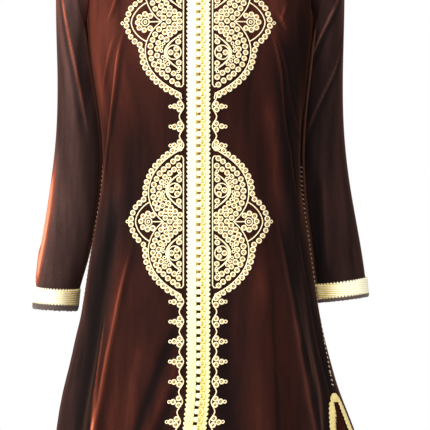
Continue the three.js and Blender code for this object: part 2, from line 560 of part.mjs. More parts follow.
// Half a knot, as a stack of rings closed below by a flat foot and above by a point.
const BUTTON_SIDES = 6;
const DOME = [
  { height: 1, radius: 0.97 },
  { height: 3.6, radius: 0.84 },
];
function buttonDome({ place, out, down }) {
  const across = down.clone().cross(out);
  const at = (height, radius, turn) => place.clone().addScaledVector(out, height)
    .addScaledVector(across, radius * Math.cos(turn)).addScaledVector(down, radius * Math.sin(turn));
  const points = DOME.flatMap(({ height, radius }) => Array.from({ length: BUTTON_SIDES }, (_, n) =>
    at(height, radius * BUTTON.radius, (2 * Math.PI * n) / BUTTON_SIDES)));
  const [foot, tip] = [points.length, points.length + 1];
  points.push(at(DOME[0].height, 0, 0), at(BUTTON.rise, 0, 0));
  const faces = [];
  for (let n = 0; n < BUTTON_SIDES; n++) {
    const next = (n + 1) % BUTTON_SIDES;
    faces.push(foot, next, n);
    for (let ring = 0; ring < DOME.length - 1; ring++) {
      const [a, b] = [ring * BUTTON_SIDES + n, ring * BUTTON_SIDES + next];
      faces.push(a, b, b + BUTTON_SIDES, a, b + BUTTON_SIDES, a + BUTTON_SIDES);
    }
    const last = (DOME.length - 1) * BUTTON_SIDES;
    faces.push(last + n, last + next, tip);
  }
  const geometry = new THREE.BufferGeometry().setFromPoints(points);
  geometry.setIndex(faces);
  return geometry;
}

// A loop strip under a run of buttons, a little wider than a button.
const STRIP = { halfWidth: 4.4, thickness: 1.6, lift: 0.5 };
function loopStrip(from, to) {
  const stops = [];
  for (let stop = from; stop < to - BUTTON.radius; stop += BUTTON.pitch) stops.push(stop);
  stops.push(to);
  const rows = stops.reverse().map(alongButtons);
  const level = (height) => rows.map(({ place, out, down }) => [1, -1].map((side) => place.clone()
    .addScaledVector(out, height).addScaledVector(down.clone().cross(out), side * STRIP.halfWidth)));
  return solidBetween(level(SEAM_GAP + STRIP.thickness), level(STRIP.lift));
}
const third = BUTTONS / 3;
const runs = { buttons_upper: 0, buttons_middle: third, buttons_lower: 2 * third };
for (const [name, from] of Object.entries(runs)) {
  const start = FIRST_BUTTON + (from - 0.5) * BUTTON.pitch + SEAM_GAP / 2;
  let row = toSolid(loopStrip(start, start + third * BUTTON.pitch - SEAM_GAP));
  for (let n = from; n < from + third; n++) {
    const dome = buttonDome(alongButtons(FIRST_BUTTON + n * BUTTON.pitch));
    row = row.add(toSolid(dome));
  }
  addPiece(name, toGeometry(row), FINISHES.button);
}

export default group;
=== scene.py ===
# %% [markdown]
# # A buttoned velvet tunic
# The model comes as a fixed frame of plain solids: two fronts, a back, two sleeves, braids and rows of
# buttons. This lesson dresses it. The velvet panels become finely divided cloth with creases and a brushed
# pile, and the gold work is laid on them: braids with corded edges, knot buttons in loops, embroidery.
# Everything is in metres, in the frame's own place: +Z up, the front towards -Y.

# %% The frame
import json
import math
from collections import namedtuple

import bmesh
import bpy
import numpy as np
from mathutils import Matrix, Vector
from mathutils.bvhtree import BVHTree

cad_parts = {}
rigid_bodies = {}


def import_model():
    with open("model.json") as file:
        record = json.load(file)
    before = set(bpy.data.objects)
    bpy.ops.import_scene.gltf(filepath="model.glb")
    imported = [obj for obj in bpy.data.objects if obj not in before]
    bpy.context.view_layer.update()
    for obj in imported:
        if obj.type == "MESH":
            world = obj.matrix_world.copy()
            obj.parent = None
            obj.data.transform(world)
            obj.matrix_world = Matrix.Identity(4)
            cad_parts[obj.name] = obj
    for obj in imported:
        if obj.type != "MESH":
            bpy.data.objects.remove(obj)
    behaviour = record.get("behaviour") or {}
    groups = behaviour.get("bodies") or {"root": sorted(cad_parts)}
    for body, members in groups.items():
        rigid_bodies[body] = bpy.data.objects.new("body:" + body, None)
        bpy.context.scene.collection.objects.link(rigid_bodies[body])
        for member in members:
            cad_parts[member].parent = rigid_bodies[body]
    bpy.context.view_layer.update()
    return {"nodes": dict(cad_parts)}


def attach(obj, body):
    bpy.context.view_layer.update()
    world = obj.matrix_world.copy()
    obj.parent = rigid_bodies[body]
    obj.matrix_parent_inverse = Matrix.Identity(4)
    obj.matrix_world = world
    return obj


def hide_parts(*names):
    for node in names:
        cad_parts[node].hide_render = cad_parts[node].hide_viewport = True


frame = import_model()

MM = 0.001

# %% [markdown]
# ## Camera and light
# The tunic hangs at breast height before a long lens, a little to the left of the picture's middle. A white
# surround with one broad soft light from the upper left and a weak one from the right gives the velvet a
# bright left side and a dark right side, as a garment has beside a window. A floor lies below the hem.

# %% Camera
VIEW_WIDTH = 666.5 * MM  # what the picture takes in at the plane of the side seams
CAMERA_PLACE = Vector((23, -2600, -549)) * MM
SENSOR = 36.0

camera_data = bpy.data.cameras.new("camera")
camera_data.sensor_width = SENSOR
camera_data.lens = SENSOR * abs(CAMERA_PLACE.y) / VIEW_WIDTH
camera = bpy.data.objects.new("camera", camera_data)
camera.location = CAMERA_PLACE
camera.rotation_euler = (math.radians(90), 0, 0)
bpy.context.collection.objects.link(camera)
bpy.context.scene.camera = camera
bpy.context.scene.view_settings.view_transform = "Standard"
print("lens", round(camera_data.lens, 1), "mm")

# %% [markdown]
# Colours are written as the hex codes of the screen and turned into the linear light that the renderer counts
# in. Nodes could be placed one by one with their links made after, but one helper that makes a node, sets it
# and links it keeps each material readable as a recipe.


# %% Colours and nodes
def colour(code):
    """A hex sRGB colour as linear RGBA."""
    channels = [int(code[i:i + 2], 16) / 255 for i in (1, 3, 5)]
    return [c / 12.92 if c <= 0.04045 else ((c + 0.055) / 1.055) ** 2.4 for c in channels] + [1.0]


def add(tree, kind, inputs=None, **settings):
    """Adds a node, sets its properties, and sets or links each named or numbered input."""
    node = tree.nodes.new(kind)
    for name, value in settings.items():
        setattr(node, name, value)
    for name, value in (inputs or {}).items():
        if isinstance(value, bpy.types.NodeSocket):
            tree.links.new(value, node.inputs[name])
        else:
            node.inputs[name].default_value = value
    return node


def new_material(name):
    """An empty node material and its tree."""
    material = bpy.data.materials.new(name)
    material.use_nodes = True
    material.node_tree.nodes.clear()
    return material, material.node_tree


def finish_material(tree, shader):
    """Links a shader to the material's output."""
    add(tree, "ShaderNodeOutputMaterial", {"Surface": shader.outputs[0]})


# %% Surround
AMBIENT = 0.55  # how strongly the surround lights the tunic, while the camera sees it fully white
world = bpy.data.worlds.new("white_surround")
bpy.context.scene.world = world
world.use_nodes = True
world_tree = world.node_tree
world_tree.nodes.clear()
ray = add(world_tree, "ShaderNodeLightPath")
strength = add(world_tree, "ShaderNodeMapRange", {
    "Value": ray.outputs["Is Camera Ray"], "To Min": AMBIENT, "To Max": 1.0})
surround = add(world_tree, "ShaderNodeBackground", {
    "Color": colour("#ffffff"), "Strength": strength.outputs[0]})
add(world_tree, "ShaderNodeOutputWorld", {"Surface": surround.outputs[0]})
print("surround at", AMBIENT)

# %% Lights
TUNIC_MIDDLE = Vector((0, 0, -0.5))


def softbox(name, place, size, watts, tint="#ffffff"):
    """A square area light that faces the tunic's middle."""
    data = bpy.data.lights.new(name, "AREA")
    data.size = size
    data.energy = watts
    data.color = colour(tint)[:3]
    light = bpy.data.objects.new(name, data)
    light.location = place
    light.rotation_euler = (TUNIC_MIDDLE - Vector(place)).to_track_quat("-Z", "Y").to_euler()
    bpy.context.collection.objects.link(light)


softbox("window_left", (-2.2, -1.5, 0.9), 1.3, 100, "#fff6ee")
softbox("front_above", (-0.5, -3.0, 1.2), 1.2, 58)
softbox("fill_right", (2.4, -1.0, 0.2), 1.2, 9)
print(len(bpy.data.lights), "lights")


# %% Floor
def mesh_of(bm, name="piece"):
    """Ends a bmesh and returns its mesh."""
    mesh = bpy.data.meshes.new(name)
    bm.to_mesh(mesh)
    bm.free()
    return mesh


FLOOR_Z, FLOOR_SIZE = -1.25, 2.6
floor_bm = bmesh.new()
bmesh.ops.create_grid(floor_bm, x_segments=1, y_segments=1, size=FLOOR_SIZE)
bmesh.ops.translate(floor_bm, verts=floor_bm.verts, vec=(0, 0, FLOOR_Z))
floor_mesh = mesh_of(floor_bm, "floor")
floor = bpy.data.objects.new("floor", floor_mesh)
bpy.context.collection.objects.link(floor)
floor_material, floor_tree = new_material("pale_matt_floor")
floor_shader = add(floor_tree, "ShaderNodeBsdfPrincipled", {
    "Base Color": colour("#f4f2ef"), "Roughness": 0.8})
finish_material(floor_tree, floor_shader)
floor_mesh.materials.append(floor_material)
print("floor at", FLOOR_Z)

# %% [markdown]
# ## Velvet
# Silk velvet is a dense upright pile. Where it leans away from the light or the eye it drinks the light, and
# seen along its tips it glows in its own warm colour. The shader's sheen gives that glow at grazing angles.
# The pile's tone is stored on each panel as an attribute named nap, from 0, dark, to 1, light. It holds the
# pile's brushed lean and painted light as well: painted highlights along crests and lit edges, painted shade
# in hollows and on the sides away from the lamps. A long soft noise breaks it up as hands do. A second
# attribute,
# grey, is painted light too: a painted cast of the white room's light on the shaded pile, which takes some of
# the colour away.

# %% Velvet material
VELVET_TONES = {0.0: "#0c0808", 0.2: "#180d0c", 0.4: "#321712", 0.6: "#562a20", 0.8: "#86432f",
                1.0: "#d8886a"}
PILE = 1.4 * MM  # the pile's tufts are finer; they are drawn this coarse so that they show
BRUSHED, TUFTED = 0.24, 0.16  # how far the long noise and the fine one carry the tone


def make_velvet():
    """Velvet whose tone follows the brushed pile and the painted light and shade stored with it."""
    material, tree = new_material("silk_velvet_rust_brown")
    where = add(tree, "ShaderNodeTexCoord")
    nap_and_painted_light = add(tree, "ShaderNodeAttribute", attribute_name="nap_and_painted_light")
    along = add(tree, "ShaderNodeMapping", {"Vector": where.outputs["Object"], "Scale": (70, 70, 9)})
    brushed = add(tree, "ShaderNodeTexNoise", {"Vector": along.outputs[0], "Scale": 1.0, "Detail": 4.0})
    pile = add(tree, "ShaderNodeTexNoise", {
        "Vector": where.outputs["Object"], "Scale": 1 / PILE, "Detail": 1.0})
    lean = add(tree, "ShaderNodeMath", {0: brushed.outputs[0], 1: BRUSHED, 2: nap_and_painted_light.outputs["Fac"]},
               operation="MULTIPLY_ADD")
    tuft = add(tree, "ShaderNodeMath", {0: pile.outputs[0], 1: TUFTED, 2: lean.outputs[0]},
               operation="MULTIPLY_ADD")
    level = add(tree, "ShaderNodeMath", {0: tuft.outputs[0], 1: (BRUSHED + TUFTED) / 2}, operation="SUBTRACT")
    ramp = add(tree, "ShaderNodeValToRGB", {"Fac": level.outputs[0]})
    for place, tone in VELVET_TONES.items():
        ends = {0.0: ramp.color_ramp.elements[0], 1.0: ramp.color_ramp.elements[-1]}
        stop = ends.get(place) or ramp.color_ramp.elements.new(place)
        stop.color = colour(tone)
    # the painted cast: painted light of the white room that takes colour out of the shaded pile
    painted_grey_cast = add(tree, "ShaderNodeAttribute", attribute_name="painted_grey_cast")
    purity = add(tree, "ShaderNodeMath", {0: 1.0, 1: painted_grey_cast.outputs["Fac"]}, operation="SUBTRACT")
    tone = add(tree, "ShaderNodeHueSaturation", {"Color": ramp.outputs[0], "Saturation": purity.outputs[0]})
    bump = add(tree, "ShaderNodeBump", {"Height": pile.outputs[0], "Strength": 0.25, "Distance": 0.3 * MM})
    shader = add(tree, "ShaderNodeBsdfPrincipled", {
        "Base Color": tone.outputs[0], "Roughness": 0.8, "Specular IOR Level": 0.04, "Sheen Weight": 0.2,
        "Sheen Roughness": 0.3, "Sheen Tint": colour("#dc8c70"), "Normal": bump.outputs[0]})
    finish_material(tree, shader)
    return material


velvet = make_velvet()
print("velvet in", len(VELVET_TONES), "tones")

# %% [markdown]
# ## Gold
# The gold work is lurex: a flat metallic yarn, pale as straw, twisted with silk. Woven as braid it shows
# fine ribs along its length; twisted as cord it shows slanting turns. It is only partly metallic, so the
# silk keeps it creamy in the light. Its two tones follow the ribs: the yarns' own tones, with painted shade,
# ochre, where the ribs sink. One recipe makes every gold, from two tones, the ribs' direction and spacing,
# and how metallic and how rough it is.

# %% Gold materials
RIB_WAVES = 3.2  # Blender's wave texture repeats about this many times faster than its scale says
PAINTED_SHADE_FOOT, PAINTED_SHADE_TOP = -0.80, -0.60  # heights over which painted shade yellows and darkens the opening's lurex


def make_gold(name, light, deep, rib_axis, rib, metallic, roughness, painted_shade_span=None, painted_shade_at_hem=False):
    """Lurex with ribs every "rib" metres across one axis.

    painted_shade_span: between what distances x it pales outwards, painted shade inwards; duller: painted
    shade towards the hem.
    """
    material, tree = new_material(name)
    where = add(tree, "ShaderNodeTexCoord")
    ribs = add(tree, "ShaderNodeTexWave", {"Vector": where.outputs["Object"], "Scale": 1 / rib / RIB_WAVES,
                                           "Distortion": 1.2, "Detail": 1.0, "Detail Scale": 2.0},
               bands_direction=rib_axis)
    grain = add(tree, "ShaderNodeTexNoise",
                {"Vector": where.outputs["Object"], "Scale": 260.0, "Detail": 2.0})
    mix = add(tree, "ShaderNodeMath", {0: ribs.outputs["Fac"], 1: grain.outputs[0]}, operation="MULTIPLY")
    place = add(tree, "ShaderNodeSeparateXYZ", {0: where.outputs["Object"]})
    level = mix
    # painted shade on the side beside the body, painted light on the outer side
    if painted_shade_span:
        apart = add(tree, "ShaderNodeMath", {0: place.outputs["X"]}, operation="ABSOLUTE")
        painted_light_outwards = add(tree, "ShaderNodeMapRange", {
            "Value": apart.outputs[0], "From Min": painted_shade_span[0], "From Max": painted_shade_span[1],
            "To Min": -0.1, "To Max": 0.24})
        level = add(tree, "ShaderNodeMath", {0: mix.outputs[0], 1: painted_light_outwards.outputs[0]}, operation="ADD")
    # the deep tone where the ribs sink: the yarns' own tones with painted shade in the hollows
    ramp = add(tree, "ShaderNodeValToRGB", {"Fac": level.outputs[0]})
    ramp.color_ramp.elements[0].color = colour(deep)
    ramp.color_ramp.elements[1].color = colour(light)
    ramp.color_ramp.elements[1].position = 0.42
    tone = ramp
    # painted shade: the lurex turns yellower and darker towards the hem
    if painted_shade_at_hem:
        change = {}
        for quality, low, high in (("Hue", 0.515, 0.5), ("Saturation", 1.3, 1.0), ("Value", 0.9, 1.0)):
            change[quality] = add(tree, "ShaderNodeMapRange", {
                "Value": place.outputs["Z"], "From Min": PAINTED_SHADE_FOOT, "From Max": PAINTED_SHADE_TOP,
                "To Min": low, "To Max": high}).outputs[0]
        tone = add(tree, "ShaderNodeHueSaturation", {"Color": ramp.outputs[0], **change})
    bump = add(tree, "ShaderNodeBump", {"Height": mix.outputs[0], "Strength": 0.5, "Distance": 0.4 * MM})
    shader = add(tree, "ShaderNodeBsdfPrincipled", {
        "Base Color": tone.outputs[0], "Metallic": metallic, "Roughness": roughness,
        "Sheen Weight": 0.15, "Sheen Roughness": 0.4, "Normal": bump.outputs[0]})
    finish_material(tree, shader)
    return material


braid_upright = make_gold("lurex_braid_upright_ribs", "#fffbe2", "#ead88c", "X", 1.6 * MM, 0.15, 0.5,
                          painted_shade_at_hem=True)
braid_level = make_gold("lurex_braid_level_ribs", "#fffce0", "#e8c24c", "Z", 3.4 * MM, 0.25, 0.4,
                        painted_shade_span=(0.196, 0.224))
braid_cord = make_gold("lurex_edge_cord", "#fbeeaa", "#d4b45a", "DIAGONAL", 1.5 * MM, 0.2, 0.45)
loop_cord = make_gold("lurex_loop_cord", "#fffbd6", "#f0dc84", "DIAGONAL", 1.6 * MM, 0.1, 0.45, painted_shade_at_hem=True)
loop_core = make_gold("lurex_loop_core", "#f4e070", "#c9a22c", "DIAGONAL", 1.6 * MM, 0.2, 0.45)
# a braid ground under the knots, coloured with painted shade
painted_shade_braid = make_gold("lurex_braid_ground_painted_shade", "#97833a", "#5e4c1c", "X", 1.6 * MM, 0.1, 0.6)
knot_cord = make_gold("silk_knot_cord", "#fffef4", "#f6e9b4", "DIAGONAL", 2.0 * MM, 0.05, 0.5, painted_shade_at_hem=True)
stitch_cord = make_gold("embroidery_cord", "#fff6d8", "#dec280", "DIAGONAL", 1.2 * MM, 0.1, 0.5)

# %% [markdown]
# The beads are amber glass: smooth, with a clear coat. Light could be let through them, but at this size it
# would only add grain, so they are opaque. The cuffs' edging is dull dark thread, and a fine noise gives it
# its ply.


# %% Beads and crochet
def make_glass_bead():
    """Amber glass."""
    material, tree = new_material("amber_glass_bead")
    shader = add(tree, "ShaderNodeBsdfPrincipled", {
        "Base Color": colour("#dda45c"), "Roughness": 0.2, "IOR": 1.5, "Coat Weight": 0.4})
    finish_material(tree, shader)
    return material


def make_crochet():
    """Dark brown thread."""
    material, tree = new_material("dark_crochet_thread")
    where = add(tree, "ShaderNodeTexCoord")
    ply = add(tree, "ShaderNodeTexNoise", {"Vector": where.outputs["Object"], "Scale": 500.0, "Detail": 2.0})
    ramp = add(tree, "ShaderNodeValToRGB", {"Fac": ply.outputs[0]})
    ramp.color_ramp.elements[0].color = colour("#2c1d1b")
    ramp.color_ramp.elements[1].color = colour("#5c4740")
    shader = add(tree, "ShaderNodeBsdfPrincipled", {
        "Base Color": ramp.outputs[0], "Roughness": 0.6, "Sheen Weight": 0.3, "Sheen Roughness": 0.5})
    finish_material(tree, shader)
    return material


bead_glass = make_glass_bead()
crochet = make_crochet()
print("gold, beads and crochet ready")

# %% [markdown]
# ## Cloth panels
# A panel starts as a copy of its solid. The copy's loose triangles are merged and paired into quads, its
# sharp rims are creased so that they stay crisp, and a subdivision surface rounds the rest. That keeps the
# cut's own outline and gives enough points to crease the cloth by hand.

# %% Showing a piece
shown = set()


def show(mesh, name, material):
    """Makes a piece of a mesh that already lies in its place."""
    mesh.name = name
    mesh.materials.clear()
    mesh.materials.append(material)
    mesh.shade_smooth()
    piece = bpy.data.objects.new(name, mesh)
    bpy.context.collection.objects.link(piece)
    shown.add(piece.name)
    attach(piece, "root")
    return piece


# %% Copies of solids
WELD = 0.05 * MM
RIM_ANGLE, FLAT_ANGLE, ANY_SHAPE = math.radians(48), math.radians(40), math.radians(179)


def welded(node):
    """A bmesh of a solid, its loose triangles joined at their shared points."""
    bm = bmesh.new()
    bm.from_mesh(frame["nodes"][node].data)
    bmesh.ops.remove_doubles(bm, verts=bm.verts, dist=WELD)
    return bm


def as_mesh(data, levels=0):
    """The mesh that a curve's bevel, or a subdivision surface over a mesh, makes; the data is used up."""
    holder = bpy.data.objects.new("holder", data)
    bpy.context.collection.objects.link(holder)
    if levels:
        divide = holder.modifiers.new("divide", "SUBSURF")
        divide.levels = divide.render_levels = levels
    made = bpy.data.meshes.new_from_object(holder.evaluated_get(bpy.context.evaluated_depsgraph_get()))
    bpy.data.objects.remove(holder)
    (bpy.data.meshes if levels else bpy.data.curves).remove(data)
    return made


def rounded_copy(node, levels):
    """A mesh of a solid's own form, its facets rounded by subdivision and its rims kept sharp."""
    bm = welded(node)
    bmesh.ops.join_triangles(bm, faces=bm.faces, angle_face_threshold=FLAT_ANGLE,
                             angle_shape_threshold=ANY_SHAPE)
    crease = bm.edges.layers.float.new("crease_edge")
    for edge in bm.edges:
        if len(edge.link_faces) == 2 and edge.calc_face_angle() > RIM_ANGLE:
            edge[crease] = 1.0
    return as_mesh(mesh_of(bm), levels)


def vertex_rows(mesh, quality="co"):
    """The points of a mesh in metres, or their normals, a row each."""
    flat = np.empty(len(mesh.vertices) * 3, dtype=np.float32)
    mesh.vertices.foreach_get(quality, flat)
    return flat.reshape(-1, 3)


def points_of(mesh):
    """The points of a mesh, a row each, in metres and in double precision."""
    return vertex_rows(mesh).astype(float)


CLOTH_LEVELS = 3
panels = {}
for node in ("front_left", "front_right", "back", "sleeve_left", "sleeve_right"):
    panels[node] = rounded_copy(node, CLOTH_LEVELS)
    print(node, len(panels[node].vertices), "points")

# %% [markdown]
# ## Creases and nap
# Creases are listed one by one, each as a line down a panel. A crease lifts a ridge of a given width and
# sinks a softer hollow on its shaded side. Both walls of the cloth move by one and the same field, so that
# the cloth keeps its thickness. The distance across a crease is measured round the body, as lap: the way
# round from the middle of the front.

# %% Lap and outward direction
BODY = np.array([  # height, half width and half depth of the body, in millimetres
    (-1060, 240, 166), (-822, 214, 142), (-680, 181, 124), (-550, 162, 110), (-450, 154, 106),
    (-352, 164, 113), (-250, 176, 109), (0, 176, 90)], dtype=float)
LAP_RADIUS = 150.0


def body_frame(points, facing):
    """Lap in mm and the outward direction at each point of the body. facing: -1 front, 1 back."""
    x, y, z = (points / MM).T
    wide = np.interp(z, BODY[:, 0], BODY[:, 1])
    deep = np.interp(z, BODY[:, 0], BODY[:, 2])
    lap = np.arctan2(x / wide, facing * y / deep) * LAP_RADIUS
    out = np.stack([x / wide ** 2, y / deep ** 2, np.zeros_like(x)], axis=1)
    return lap, out / np.linalg.norm(out, axis=1, keepdims=True)


def lap_at(x, z):
    """The lap of a point at a given x, in mm."""
    wide = np.interp(z, BODY[:, 0], BODY[:, 1])
    return np.arcsin(np.clip(x / wide, -1, 1)) * LAP_RADIUS


def ease(t):
    """A soft step from 0 to 1."""
    t = np.clip(t, 0, 1)
    return t * t * (3 - 2 * t)


print("body", len(BODY), "heights")

# %% [markdown]
# Each row of the tables is one crease. Its top and foot are x and z on the cloth seen from the front,
# and bow moves the line's middle sideways. Width and relief are those of the ridge, and a relief below 0 is a
# dent. All of these are in millimetres. Shade is the side of its hollow, -1 or 1. Glow is painted light: how
# far the pile's tone is raised along the crest as a painted highlight, or lowered as painted shade if it is
# negative, and the hollow gets painted shade with it. A row without relief paints light alone. A crease fades
# over a share of its length at both ends, or at its top alone if it runs to the hem.

# %% Crease tables
Crease = namedtuple("Crease", "top foot width relief glow shade bow fade to_hem",
                    defaults=(0, 0, 0.25, False))

FRONT_CREASES = [
    # right front, breast: a plain of painted light by the arm and a long crease from the breast to the side
    Crease((-142, -190), (-152, -450), 30, 0, 0.08, fade=0.3),
    Crease((-114, -200), (-138, -262), 3.5, 3, 0.22, shade=1),
    Crease((-121, -272), (-148, -372), 3.2, 2.5, 0.2, shade=1),
    Crease((-107, -262), (-156, -530), 3.2, 3, 0.32, shade=1, fade=0.2),
    Crease((-90, -350), (-104, -640), 30, -3, -0.1, fade=0.4),
    Crease((-142, -440), (-186, -760), 10, 2, 0.24),
    # right front, skirt: a fold with painted shade, two crests with painted highlights, painted light between
    Crease((-120, -500), (-180, -882), 25, -6, -0.27, bow=-8, to_hem=True),
    Crease((-97, -580), (-147, -882), 3.2, 3.5, 0.27, shade=1, bow=1, to_hem=True),
    Crease((-138, -690), (-147, -882), 3, 3.5, 0.36, shade=-1, to_hem=True),
    Crease((-122, -720), (-146, -882), 3, 1.2, 0.08, to_hem=True),
    Crease((-106, -570), (-134, -882), 16, 2, 0.14, to_hem=True),
    Crease((-84, -720), (-110, -882), 16, 1, 0.12, to_hem=True),
    Crease((-28, -700), (-94, -882), 7, -3, -0.2, to_hem=True),
    Crease((-22, -740), (-74, -882), 6, 2, 0.12, to_hem=True),
    Crease((-26, -780), (-62, -882), 7, -2, -0.12, to_hem=True),
    Crease((-206, -700), (-222, -882), 5, 2, 0.1, to_hem=True),
    # left front, breast: painted light, two creases that fan out from the embroidery, painted shade by the
    # arm
    Crease((112, -170), (112, -310), 26, 0, 0.12, fade=0.4),
    Crease((112, -242), (128, -278), 3.5, 3, 0.26, shade=-1, fade=0.4),
    Crease((130, -228), (117, -262), 3.5, 2.5, 0.16, shade=1, fade=0.4),
    Crease((101, -262), (145, -530), 3.2, 3, 0.27, shade=1, fade=0.18),
    Crease((104, -262), (156, -450), 3.2, 2.5, 0.24, shade=1, fade=0.2),
    Crease((88, -320), (128, -610), 24, 0, 0.2, fade=0.35),
    Crease((154, -200), (160, -640), 24, -2, -0.22, fade=0.25),
    # left front, skirt
    Crease((108, -535), (166, -882), 3, 2.2, 0.2, shade=1, bow=-2, to_hem=True),
    Crease((125, -560), (186, -882), 12, -2, -0.08, bow=-4, to_hem=True),
    Crease((140, -560), (208, -850), 3, 1.8, 0.14, shade=1, to_hem=True),
    Crease((80, -590), (92, -882), 24, 1.5, 0.11, to_hem=True),
    Crease((102, -620), (109, -882), 5, -2, -0.1, to_hem=True),
    Crease((118, -640), (132, -882), 12, 1, 0.04, to_hem=True),
    Crease((40, -620), (46, -882), 14, -2, -0.06, to_hem=True),
]
BACK_CREASES = [
    Crease((-90, -180), (-60, -420), 8, 4, 0.16, shade=1, bow=8),
    Crease((96, -200), (58, -430), 8, 4, 0.14, shade=-1, bow=-8),
    Crease((-70, -430), (-120, -1060), 8, 7, 0.24, shade=1, bow=6, to_hem=True),
    Crease((12, -460), (6, -1060), 9, 6, 0.16, shade=-1, bow=5, to_hem=True),
    Crease((76, -420), (138, -1060), 8, 7, 0.22, shade=-1, bow=-6, to_hem=True),
    Crease((-128, -500), (-190, -1060), 7, 5, 0.2, shade=-1, to_hem=True),
    Crease((130, -540), (196, -1060), 7, 5, 0.18, shade=1, to_hem=True),
    Crease((-30, -640), (-44, -1060), 14, -4, -0.08, to_hem=True),
]


# %% A crease's form
# The hollow beside a ridge of width and relief 1, and the painted shade in it.
HOLLOW_AWAY, HOLLOW_WIDE, HOLLOW_DEEP, HOLLOW_PAINTED_SHADE = 1.9, 1.4, 0.55, 0.35
PAINTED_CREST_AWAY, PAINTED_CREST_WIDE = 0.3, 0.7  # the painted highlight lies a little off the ridge, away from the hollow


def bump_at(across, middle, width):
    """A smooth swell: 1 at its middle, and gone about two widths from it."""
    return np.exp(-((across - middle) / width) ** 2)


def along_line(line, z):
    """Where a crease's line runs at each height, and how far it has faded in there."""
    way = (line.top[1] - z) / (line.top[1] - line.foot[1])
    middle = line.top[0] + (line.foot[0] - line.top[0]) * way + line.bow * 4 * way * (1 - way)
    fade = ease(way / line.fade)
    return middle, fade if line.to_hem else fade * ease((1 - way) / line.fade)


def crease_fields(lines, z, across_from):
    """The sum of a table's creases at each point: relief in mm, and the pile's painted light and shade."""
    relief, lift = np.zeros_like(z), np.zeros_like(z)
    for line in lines:
        middle, fade = along_line(line, z)
        across, wide = across_from(middle), line.width
        hollow = bump_at(across, line.shade * HOLLOW_AWAY * wide, HOLLOW_WIDE * wide) * abs(line.shade)
        painted_crest = bump_at(across, -line.shade * PAINTED_CREST_AWAY * wide, PAINTED_CREST_WIDE * wide)
        relief += line.relief * fade * (bump_at(across, 0, wide) - HOLLOW_DEEP * hollow)
        # the pile's tone: a painted highlight along the crest and painted shade in the hollow
        lift += line.glow * fade * (painted_crest - HOLLOW_PAINTED_SHADE * hollow)
    return relief, lift


print(len(FRONT_CREASES), "creases on the fronts and", len(BACK_CREASES), "on the back")

# %% [markdown]
# The fronts lie still beside the opening, where the braids hold them, and at the shoulders. Between the
# creases the cloth is never flat, so slow swells are added to it, and short streaks to its nap.

# %% Swells and stored values
SWELLS = 7


def unevenness(across, z, seed, size=1.0):
    """Slow swells of handled cloth, longer down the panel than across it, between about -1 and 1."""
    draw = np.random.default_rng(seed)
    total = np.zeros_like(z)
    for _ in range(SWELLS):
        wide, long = draw.uniform(26, 60) * size, draw.uniform(110, 300) * size
        total += np.sin(across / wide + z / long + draw.uniform(0, 6.28)) / 4
    return total


def set_points(mesh, points):
    """Moves the points of a mesh."""
    mesh.vertices.foreach_set("co", points.astype(np.float32).ravel())
    mesh.update()


def set_pile(mesh, nap_and_painted_light, painted_grey_cast):
    """Stores the pile's tone with its painted light, and the room's painted cast, on a panel's points."""
    for name, values in (("nap_and_painted_light", nap_and_painted_light), ("painted_grey_cast", painted_grey_cast)):
        layer = mesh.attributes.new(name, "FLOAT", "POINT")
        layer.data.foreach_set("value", np.clip(values, 0, 1).astype(np.float32))


def inner_side(mesh, out):
    """Which points lie on the inner wall, 0 or 1: their normals look away from the outward direction."""
    return (np.einsum("ij,ij->i", vertex_rows(mesh, "normal"), out) < -0.3).astype(float)


# %% Fronts and back
INNER_NAP_WITH_PAINTED_LIGHT = 0.6  # the inner face, redder than the pile, and lighter still as painted light where it lies in shadow
SWELL_HIGH = 1.1  # of the slow swells, in mm


def crease_body_panel(node, creases, seed, base_nap_with_painted_light, painted_grey_by_arm):
    """Creases one panel of the body and gives its pile painted light and shade; a painted cast takes colour
    out by the arm.
    """
    mesh = panels[node]
    points = points_of(mesh)
    is_front = node != "back"
    lap, out = body_frame(points, -1 if is_front else 1)
    x, z = points[:, 0] / MM, points[:, 2] / MM
    relief, lift = crease_fields(creases, z, lambda middle: lap - lap_at(middle, z))
    relief += SWELL_HIGH * unevenness(lap, z, seed)
    beside_opening = ease((np.abs(x) - 24) / 30) if is_front else 1.0
    below_shoulders = ease((-z - 60) / 120)
    inner = inner_side(mesh, out)
    points += out * (relief * beside_opening * below_shoulders * MM)[:, None]
    set_points(mesh, points)
    streaks = 0.04 * unevenness(lap, z, seed + 9) + 0.03 * unevenness(lap, z, seed + 4, 0.25)
    # the pile's tone: painted light and shade from the base and the creases, and random streaks
    nap_and_painted_light = np.where(inner > 0, INNER_NAP_WITH_PAINTED_LIGHT, base_nap_with_painted_light(lap, z) + lift + streaks)
    # a painted cast of the room's light, at the sides and low down, kept off the lighter pile
    painted_grey_cast = painted_grey_by_arm * ease((np.abs(lap) - 104) / 34) * ease((-z - 470) / 90)
    set_pile(mesh, nap_and_painted_light, painted_grey_cast * (1 - inner) * (1 - ease((nap_and_painted_light - 0.4) / 0.12)))
    print(node, "creased by up to", round(float(np.abs(relief).max()), 1), "mm")


def right_front_nap_with_painted_light(lap, z):
    """Painted light: lighter at the breast, and more so towards the arm."""
    breast = ease((z + 470) / 180)
    painted_light_by_arm = 0.12 * breast * ease((-lap - 156) / 20)
    return 0.29 + 0.15 * breast * ease((-lap - 20) / 60) + 0.02 * breast + painted_light_by_arm


def left_front_nap_with_painted_light(lap, z):
    """Painted light at the breast, painted shade towards the arm."""
    breast = ease((z + 370) / 140)
    return 0.26 + 0.18 * breast - 0.12 * ease((lap - 100) / 50)


def back_nap_with_painted_light(lap, z):
    """Lighter towards the top, with painted shade towards the arms."""
    return 0.32 + 0.08 * ease((z + 400) / 200) - 0.16 * ease((np.abs(lap) - 110) / 60)


